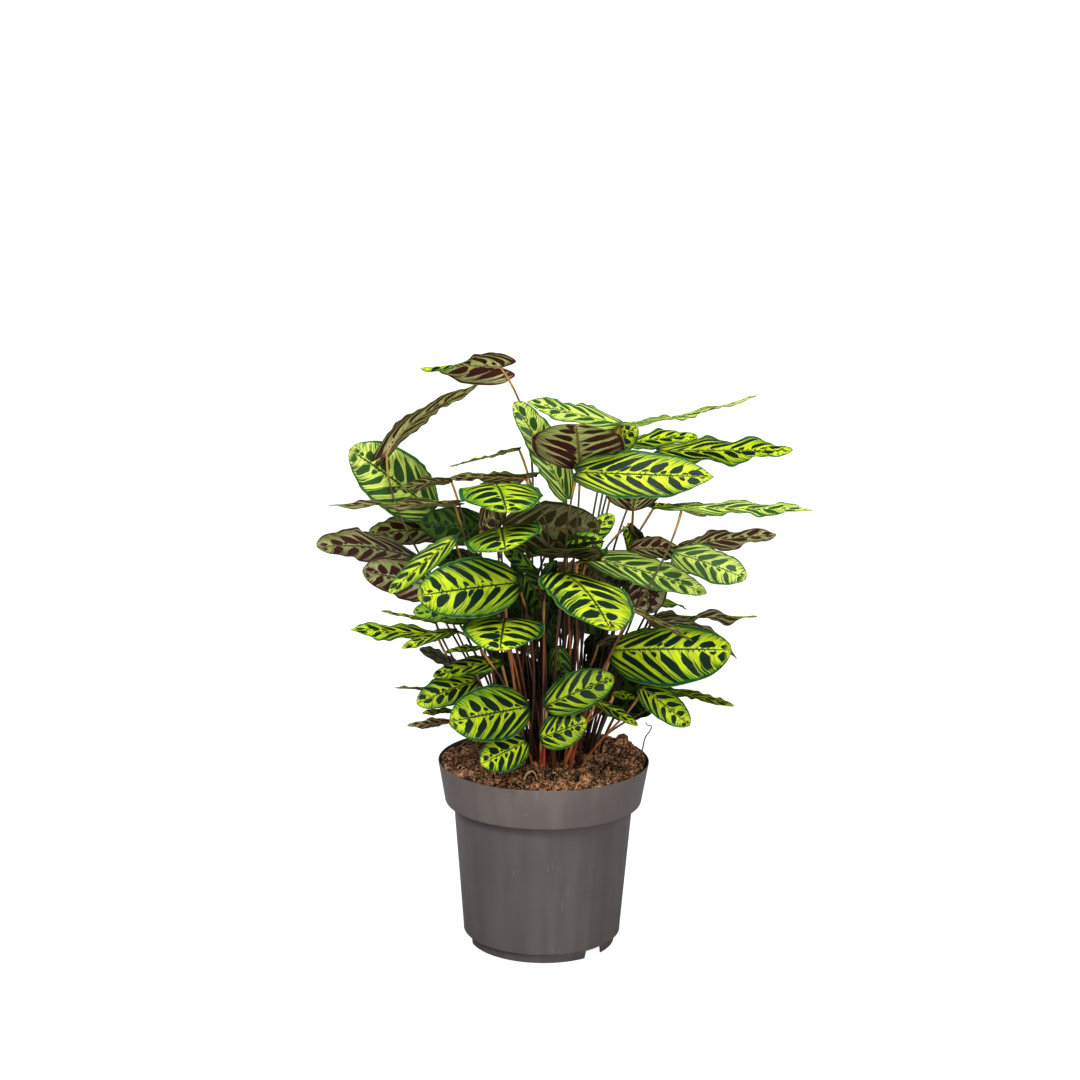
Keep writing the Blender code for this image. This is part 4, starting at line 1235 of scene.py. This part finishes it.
def attribute(finish, name):
    """A number that each leaf carries."""
    return finish.add("ShaderNodeAttribute", {"attribute_name": name}, output="Fac")


def oval(e, cell, start, end, width):
    """1 inside an oval from start to end across, width of a period wide each way."""
    middle = (start + end) * 0.5
    across = (e - middle) / ((end - start) * 0.5)
    along = cell / (width * (1.0 - across * 0.40))
    return (across * across + along * along).rise(1.12, 0.88)


def spindle(e, cell, start, end, width):
    """1 inside a blotch from start to end across, which tapers towards the margin."""
    along = (e - start) / (end - start)
    half = width * along.rise(-0.10, 0.38) * (1.0 - along * 0.42)
    return (half - abs(cell)).rise(-0.012, 0.030) * along.rise(1.05, 0.90)


def periods(finish, phase, side, seed, salt):
    """Where a point lies in its period, from -0.5 to 0.5, and three numbers from 0 to 1
    that each period draws."""
    index = phase.floor()
    whole_seed = (seed * 256.0 + 0.5).floor()
    key = finish.add("ShaderNodeCombineXYZ", inputs=(index, side * 7.0 + salt, whole_seed))
    given = finish.add("ShaderNodeTexWhiteNoise", inputs={"Vector": key}, output="Color")
    return phase - index - 0.5, *finish.parts(given)


def leaf_face(
    name, roughness, glow, breadth,
    ground, outer_ground, pale, blotch, margin, rib, through, shaded, soft,
):
    """One face of the blades. glow is how much light comes through, and breadth how wide
    the blotches are. outer_ground is the ground near the margin, pale and soft are the
    ground and the blotches of the palest leaves, partly their own colour and partly a painted
    sheen, through is the colour of the light that comes through, and shaded is the painted
    shade laid over the leaves that stand in the shade."""
    face = Finish(name, roughness)
    u, v, _ = face.parts(face.place("UV"))
    seed = attribute(face, "leaf_seed")
    count = attribute(face, "blot_count")
    tone = attribute(face, "leaf_tone_and_painted_light")

    # true_e is 0 at the midrib and 1 at the margin, e the same but uneven, and phase
    # counts the blotches from the base to the tip along the side veins' sweep
    true_e = abs(u * 2.0 - 1.0)
    side = u > 0.5
    place = face.add("ShaderNodeCombineXYZ", inputs=(u * 2.4, v * count * 0.5, seed * 60.0))
    wobble = face.noise(place, 1.7, 2.0) - 0.5
    ripple = face.noise(place, 7.0, 1.0) - 0.5
    e = true_e + wobble * 0.14 + ripple * 0.05
    sweep = true_e * VEIN_SWEEP[0] + true_e * true_e * VEIN_SWEEP[1]
    start = (v - sweep) / (1.0 - sweep)
    phase = start * count + side * SIDE_SHIFT + seed * 7.0 + wobble * 0.30 + ripple * 0.09

    # Large blotches: long tapered stripes on one side of the midrib, ovals on the other
    cell, r1, r2, r3 = periods(face, phase, side, seed, 0.0)
    tipward = v.rise(0.40, 0.98)
    longer = abs(side - ((seed * 5.0).maths("FRACT") > 0.5))
    inner_end = 0.03 + r1 * 0.08
    outer_end = 0.70 + r2 * 0.22 - tipward * 0.30
    width = breadth * (0.78 + r3 * 0.40 - tipward * 0.08)
    stripe = spindle(e, cell, inner_end, outer_end + 0.30, width)
    paw = oval(e, cell, inner_end, outer_end, width * 0.95)
    marks = longer * stripe + (1.0 - longer) * paw

    # Small ones between them at the midrib
    cell, r1, r2, r3 = periods(face, phase + 0.5, side, seed, 3.0)
    small = oval(e, cell, 0.05 + r1 * 0.05, 0.16 + r2 * 0.17, 0.10 + r3 * 0.05)
    marks = marks.larger(small * (r3 > 0.4))

    # Fine streaks that run in from the margin, and barbs along the midrib
    cell, r1, r2, r3 = periods(face, phase * 4.0, side, seed, 5.0)
    reach = ((e - 0.26 - r1 * 0.45) / 0.62).larger(0.0)
    streaks = (abs(cell) - reach * (0.17 + r2 * 0.28)).rise(0.02, -0.05) * (reach > 0.001)
    barb = true_e.rise(0.15, 0.0) * (0.10 + r2 * 0.22)
    barbs = (abs(cell) - barb).rise(0.04, -0.05) * (true_e < 0.15) * (r3 > 0.35)
    marks = marks.larger(streaks * 0.92).larger(barbs * 0.9)
    marks = marks.larger(v.rise(0.10, 0.0)) * v.rise(1.0, 0.93)

    # The ground: yellower inside, greener and finely lined towards the margin
    edge = true_e.larger(1.0 - v * 15.0)
    veins = face.noise(
        face.add("ShaderNodeCombineXYZ", inputs=(phase * 9.0, e * 1.2, seed * 31.0)), 1.0, 2.0
    )
    patch = face.noise(place, 1.1, 2.0)
    # A leaf's tone makes its ground greener or yellower, and a tone below 0 paints the ground
    # brighter on leaves that face the light
    tint = edge.rise(0.35, 1.0) * 0.75 + (patch - 0.5) * 0.9 + (veins - 0.5) * 0.6 + tone * 0.6
    colour = face.blend(tint.rise(-0.1, 1.0), ground, outer_ground)
    # The palest leaves get a paler ground and softer blotches and margin, partly their own colour
    # and partly a painted sheen
    paleness_and_sheen = tone.rise(0.5, 1.0) * tone.rise(1.2, 1.05) * 0.80
    colour = face.blend(paleness_and_sheen, colour, pale)
    lines = face.noise(
        face.add("ShaderNodeCombineXYZ", inputs=(phase * 14.0, e * 1.6, seed * 17.0)), 1.0, 1.0
    )
    colour = face.blend(lines.rise(0.51, 0.62) * (0.46 + edge * 0.40), colour, margin)

    # Over it the blotches, the margin, a few scars, the brown tip and the midrib
    band = (edge + ripple * 0.06).rise(0.870, 0.925)
    colour = face.blend(marks, colour, face.blend(paleness_and_sheen, blotch, soft))
    colour = face.blend(band, colour, face.blend(paleness_and_sheen, margin, soft))
    colour = face.blend(edge.rise(0.975, 0.99) * 0.5, colour, outer_ground)
    place = face.add("ShaderNodeCombineXYZ", inputs=(phase * 1.5, e * 2.4, seed * 91.0))
    scars = face.noise(place, 1.0, 3.0, 0.6).rise(0.715, 0.745)
    colour = face.blend(scars * 0.8, colour, (0.62, 0.48, 0.27))
    colour = face.blend(v.rise(0.970, 0.995) * 0.8, colour, (0.17, 0.085, 0.035))
    colour = face.blend(true_e.rise(0.040, 0.020), colour, rib)
    # Painted shade: leaves whose tone is over 1 are darkened towards the shaded colour, for the
    # shade that they stand in
    inner = tone.rise(1.0, 2.0)
    colour = face.blend(inner * 0.80, colour, shaded)
    face.feed(face.shader.inputs["Base Color"], colour)
    face.feed(face.shader.inputs["Roughness"], roughness + veins * 0.08)
    face.shader.inputs["Specular IOR Level"].default_value = 0.15

    # Veins and the midrib's groove, and light that comes through between the blotches, less of it
    # where leaves are painted dark for the shade
    groove = true_e.rise(0.05, 0.0)
    face.bump(veins * 0.5 - groove * 0.6, 0.00035)
    lit = face.add("ShaderNodeBsdfTranslucent", inputs={"Color": (*through, 1)})
    face.mixed_with(lit, (1.0 - marks.larger(band) * 0.85) * (1.0 - inner * 0.8) * glow)
    return face


upper_face = leaf_face(
    "leaf upper face", roughness=0.42, glow=0.24, breadth=0.36,
    ground=(0.55, 0.66, 0.024), outer_ground=(0.24, 0.42, 0.018), pale=(0.64, 0.74, 0.19),
    blotch=(0.005, 0.021, 0.010), margin=(0.010, 0.066, 0.022), rib=(0.012, 0.045, 0.012),
    through=(0.60, 0.74, 0.04), shaded=(0.008, 0.024, 0.004), soft=(0.035, 0.090, 0.020),
)
lower_face = leaf_face(
    "leaf lower face", roughness=0.50, glow=0.36, breadth=0.42,
    ground=(0.84, 0.88, 0.46), outer_ground=(0.66, 0.66, 0.34), pale=(0.88, 0.90, 0.56),
    blotch=(0.100, 0.026, 0.030), margin=(0.095, 0.030, 0.030), rib=(0.42, 0.24, 0.08),
    through=(0.80, 0.82, 0.22), shaded=(0.026, 0.040, 0.004), soft=(0.130, 0.050, 0.045),
)

# Stalks: olive high up, brown lower down and darker on some, red at the foot of a few,
# orange at the knee, and painted nearly black towards the back and low down, a painted shade
stalk = Finish("leaf stalk", 0.38)
grown_seed = attribute(stalk, "leaf_seed")
_, below_joint, _ = stalk.parts(stalk.place("UV"))
_, away, height = stalk.parts(stalk.place())
patch = stalk.noise(stalk.place(), 70.0, 3.0, 0.6)
olive = stalk.blend(patch.rise(0.35, 0.65), (0.135, 0.100, 0.034), (0.080, 0.064, 0.028))
lower_brown = stalk.blend(patch.rise(0.35, 0.65), (0.50, 0.185, 0.060), (0.32, 0.105, 0.036))
lower_brown = stalk.blend(grown_seed.rise(0.40, 0.70), (0.080, 0.034, 0.018), lower_brown)
colour = stalk.blend((height + patch * 0.08).rise(0.56, 0.46), olive, lower_brown)
red_ones = grown_seed.rise(0.62, 0.69) * grown_seed.rise(0.84, 0.80)
red_ones = red_ones.larger(grown_seed.rise(0.06, 0.07) * grown_seed.rise(0.12, 0.105))
flush = (height + patch * 0.03).rise(0.350, 0.275) * red_ones
colour = stalk.blend(flush, colour, (0.62, 0.110, 0.085))
colour = stalk.blend(below_joint.rise(0.034, 0.024), colour, (0.42, 0.235, 0.052))
colour = stalk.blend(below_joint.rise(0.0, -0.02), colour, (0.30, 0.20, 0.05))
# Painted shade: stalks towards the back and low down are darkened nearly to black
painted_back_shade = (away + patch * 0.02).rise(-0.036, 0.002) * height.rise(0.60, 0.46)
colour = stalk.blend(painted_back_shade * 0.82, colour, (0.020, 0.012, 0.007))
stalk.feed(stalk.shader.inputs["Base Color"], colour)
stalk.bump(patch, 0.0002)


def outline_points(blade, spacing):
    """Points all over a blade, about spacing apart."""
    across = max(2, int(blade.width / spacing))
    along = max(3, int(blade.length / spacing))
    s, t = np.meshgrid(np.linspace(-1, 1, across + 1), np.linspace(0, 1, along + 1))
    return blade.points(s.ravel(), t.ravel())


def stalk_points(controls, spacing):
    """Points along a petiole, about spacing apart."""
    length = np.linalg.norm(np.diff(np.array(controls), axis=0), axis=1).sum()
    return bezier(controls, np.linspace(0, 1, int(length / spacing) + 2))


# A leaf's tone: 0 to 0.5 on most leaves, the higher the greener, 1 on the palest, below 0
# on leaves painted brighter as they face the light, and up to 2 on those painted dark, a
# painted shade for the shade that they stand in
PALE_AND_SHEEN_SHOOTS = {
    "leaf_bright_left", "leaf_long_middle", "leaf_crinkled_right", "leaf_long_right",
    "leaves_top_right", "leaf_tall_folded", "leaf_hanging_right",
}
OWN_TONES_AND_PAINTED_LIGHT = {
    "leaf_drooping_front": -0.4, "leaf_upper_right": -0.1, "leaf_facing_upper": 0.5,
    "leaf_facing_middle": 0.45, "leaf_front_left": 0.4, "leaf_low_front": 0.3,
    "leaf_dark_centre": 1.8, "leaf_above_drooping": 1.7, "leaves_inner_left": 1.5,
    "leaves_inner_right": 1.6, "leaf_below_front_left": 1.3,
}
GOLDEN = 0.618034
number = 0
blade_points, petiole_points = [], []
for name, leaves in SHOOTS.items():
    tree = corner_tree(name)
    gathered = LeafMesh()
    starts = [foot_of(name)]
    for order, leaf_data in enumerate(leaves):
        number += 1
        seed = number * GOLDEN % 1
        tone = 1.0 if name in PALE_AND_SHEEN_SHOOTS else 0.5 * (number * GOLDEN * GOLDEN % 1)
        tone = OWN_TONES_AND_PAINTED_LIGHT.get(name, tone)
        blade = settled(leaf_data, tree)
        controls = route(starts, blade, tree)
        if order == 0:
            starts = branch_starts(controls)
        add_blade(gathered, blade, BLADE_CELLS, seed, tone)
        add_petiole(gathered, blade, controls, order == 0, seed, tone)
        blade_points.append(outline_points(blade, 0.004))
        petiole_points.append(stalk_points(controls, 0.003))
    shoot = gathered.made(name + "_grown")
    dress(shoot, [upper_face, lower_face, stalk], name, smooth_below=60)

# Inner leaves: leaves in the middle of the clump, painted dark as a painted shade. The first
# stand where the front shows dark spots of shade, and the others are strewn, turned by the
# golden angle from one to the next. Each stands in the soil on its own petiole, clear of all the
# rest.
INNER_LEAVES = 260
INNER_TRIES = 45
PLACED_TRIES = 220

# Across, up and away in cm, as a leaf's base
DARK_SPOTS = (
    (-11.5, 53.5, 6), (-10.0, 50.0, 6), (-6.0, 36.5, 5), (5.5, 33.0, 4), (8.5, 30.8, 4),
    (9.5, 35.5, 3), (-9.5, 34.5, 4), (-3.0, 34.5, 7), (3.0, 36.0, 7), (-4.0, 42.5, 7),
    (4.5, 42.5, 7), (9.0, 45.5, 5), (-12.0, 36.5, 3), (0.5, 31.5, 8), (-6.5, 31.5, 5),
    (6.0, 38.5, 8), (11.5, 33.0, 2),
)
BLADE_GAP = 0.0038
PETIOLE_GAP = 0.0033
GOLDEN_ANGLE = 2.399963
HEIGHT_SHARE = 0.381966
# Painted shade: the inner leaves carry the tone that darkens them to the shaded colour
PAINTED_SHADE_TONE = 2.0
INNER_SEED = 11
LOWEST_INNER = 0.270
FRONT_LIMIT = -0.012
FRONT_LEAVES_FROM = 0.455

# An inner petiole takes one of the first, gentler sways and knees
INNER_SWAYS = 13
INNER_KNEES = 2


def lookup(points):
    """The points, to look up the nearest of them."""
    tree = KDTree(len(points))
    for number, point in enumerate(points):
        tree.insert(Vector(point), number)
    tree.balance()
    return tree


def free(points, trees):
    """Whether all points keep each tree's gap from that tree's points."""
    spread_out = np.concatenate([points[k::5] for k in range(5)])
    return all(
        tree.find(Vector(point))[2] > gap for point in spread_out for tree, gap in trees
    )


def inner_blade(number, draw):
    """A blade inside the clump. Two in three are broad and hang behind the petioles, and
    the others are narrow young ones that stand or hang between them."""
    broad = number % 3 > 0
    if broad:
        bearing = math.pi * (0.03 + 0.94 * (number * GOLDEN % 1)) + draw.uniform(-0.25, 0.25)
        reach = draw.uniform(0.03, 0.118)
        droop = math.radians(draw.uniform(35, 80))
        length = draw.uniform(0.055, 0.095)
        slimness = draw.uniform(0.52, 0.64)
    else:
        bearing = number * GOLDEN_ANGLE + draw.uniform(-0.4, 0.4)
        reach = draw.uniform(0.0, 0.075)
        droop = math.radians(draw.uniform(-75, 70))
        length = draw.uniform(0.045, 0.075)
        slimness = draw.uniform(0.30, 0.42)
    turn = bearing + draw.uniform(-0.9, 0.9)
    heading = np.array((
        math.cos(turn) * math.cos(droop), math.sin(turn) * math.cos(droop), -math.sin(droop)
    ))
    height = 0.34 + 0.17 * (number * HEIGHT_SHARE % 1) + draw.uniform(-0.03, 0.03)
    base = np.array((reach * math.cos(bearing), reach * math.sin(bearing), height))
    shape = leaf(
        (0, 0, 0), (0, 0, 0), 100 * length * slimness, draw.uniform(-40, 40),
        draw.uniform(-15, 15), draw.uniform(0.02, 0.09), wave=draw.uniform(0.02, 0.05),
    )
    return Blade(shape, base, base + heading * length)


def placed_blade(spot, freedom, draw):
    """A broad blade whose middle is near a spot that looks dark between the others. Its
    face is turned to the front. freedom is how far, from 0 to 1, it may stray."""
    middle = in_place(*spot) + draw.uniform(-0.03, 0.03, 3) * freedom
    side = 1 if spot[0] > 0 else -1
    turn = draw.uniform(-0.5, 0.9)
    droop = draw.uniform(-0.5, 0.6)
    half = 0.5 * draw.uniform(0.075, 0.105) * (1 - 0.25 * freedom)
    heading = half * np.array((
        side * math.cos(turn) * math.cos(droop), math.sin(turn) * math.cos(droop),
        -math.sin(droop),
    ))
    roll = draw.uniform(30, 75) * draw.choice((1, 1, -1))
    shape = leaf(
        (0, 0, 0), (0, 0, 0), 100 * half * draw.uniform(1.05, 1.25), roll, 0,
        draw.uniform(0.02, 0.06), wave=0.03,
    )
    return Blade(shape, middle - heading, middle + heading)


def hidden_inside(points):
    """Whether a blade stays low and dark behind the outer leaves, as the front shows."""
    low = points[:, 2].min()
    spread = 0.085 + 0.32 * (low - LOWEST_INNER)
    too_far_front = points[:, 1].min() < FRONT_LIMIT and low < FRONT_LEAVES_FROM
    return low > LOWEST_INNER and abs(points[:, 0]).max() < spread and not too_far_front


draw = np.random.default_rng(INNER_SEED)
old_trees = [
    (lookup(np.concatenate(blade_points)), BLADE_GAP),
    (lookup(np.concatenate(petiole_points)), PETIOLE_GAP),
]
inner_points = [np.zeros((1, 3))]
sides = ("right", "back", "left", "front")
inside = {side: LeafMesh() for side in sides}
for number in range(INNER_LEAVES):
    trees = old_trees + [(lookup(np.concatenate(inner_points)), PETIOLE_GAP)]
    placed = number < len(DARK_SPOTS)
    for attempt in range(PLACED_TRIES if placed else INNER_TRIES):
        if placed:
            blade = placed_blade(DARK_SPOTS[number], attempt / PLACED_TRIES, draw)
        else:
            blade = inner_blade(number, draw)
        own = outline_points(blade, 0.005)
        if not (placed or hidden_inside(own)) or not free(own, trees):
            continue
        spot = blade.base[:2] * draw.uniform(0.3, 0.8) + draw.uniform(-0.012, 0.012, 2)
        start = np.array((*spot, soil_height(*spot)))
        sway = SWAYS[draw.integers(INNER_SWAYS)]
        controls = petiole_curve(start, blade, sway, KNEES[draw.integers(INNER_KNEES)])
        stem = stalk_points(controls, 0.004)
        if free(stem, trees):
            seed = (number + 0.5) * GOLDEN % 1
            quarter = (math.atan2(blade.tip[1], blade.tip[0]) / (0.5 * math.pi) + 0.5) % 4
            gathered = inside[sides[int(quarter)]]
            add_blade(gathered, blade, INNER_CELLS, seed, PAINTED_SHADE_TONE)
            add_petiole(gathered, blade, controls, True, seed, PAINTED_SHADE_TONE)
            inner_points += [own, stem]
            break
for side, gathered in inside.items():
    if not gathered.points:
        continue
    inner = gathered.made("leaves_inside_" + side)
    dress(inner, [upper_face, lower_face, stalk], smooth_below=60)

# Twig and root: a forked bit of tan twig lies on the peat at the front, and a dark
# dry root curls up out of it at the back right.


def bent_stick(name, paths, radii, finish):
    """A thin branching stick along smooth paths through the given points."""
    data = bpy.data.curves.new(name, "CURVE")
    data.dimensions = "3D"
    data.bevel_depth = 1.0
    data.bevel_resolution = 2
    data.use_fill_caps = True
    for path, radius in zip(paths, radii):
        spline = data.splines.new("BEZIER")
        spline.resolution_u = 8
        spline.bezier_points.add(len(path) - 1)
        shares = np.linspace(1, 0.6, len(path))
        for target, place, share in zip(spline.bezier_points, path, shares):
            target.co = place
            target.handle_left_type = target.handle_right_type = "AUTO"
            target.radius = radius * share
    stick = bpy.data.objects.new(name, data)
    scene.collection.objects.link(stick)
    stick = made_plain(stick)
    stick.name = name
    dress(stick, [finish])
    return stick


def on_soil(x, y, lift):
    """The point lift metres above the soil."""
    return x, y, soil_height(x, y) + lift


pale_wood = Finish("pale twig", 0.7)
pale_wood.shader.inputs["Base Color"].default_value = (0.72, 0.50, 0.28, 1)
twig = bent_stick(
    "soil_twig",
    [
        [on_soil(-0.0255, -0.0945, 0.002), on_soil(-0.0150, -0.0800, 0.009),
         on_soil(-0.0075, -0.0900, 0.003)],
        [on_soil(-0.0165, -0.0815, 0.0085), on_soil(-0.0215, -0.0820, 0.0055)],
    ],
    (0.0013, 0.0010),
    pale_wood,
)
dry = Finish("dry root", 0.7)
dry.shader.inputs["Base Color"].default_value = (0.075, 0.032, 0.022, 1)
curl = [
    in_place(across, up, 3) for across, up in (
        (12.2, 24.0), (12.45, 25.2), (12.75, 26.6), (13.35, 27.6), (13.45, 28.1), (12.95, 28.25),
        (12.75, 28.6),
    )
]
root = bent_stick("curled_root", [curl], (0.0009,), dry)
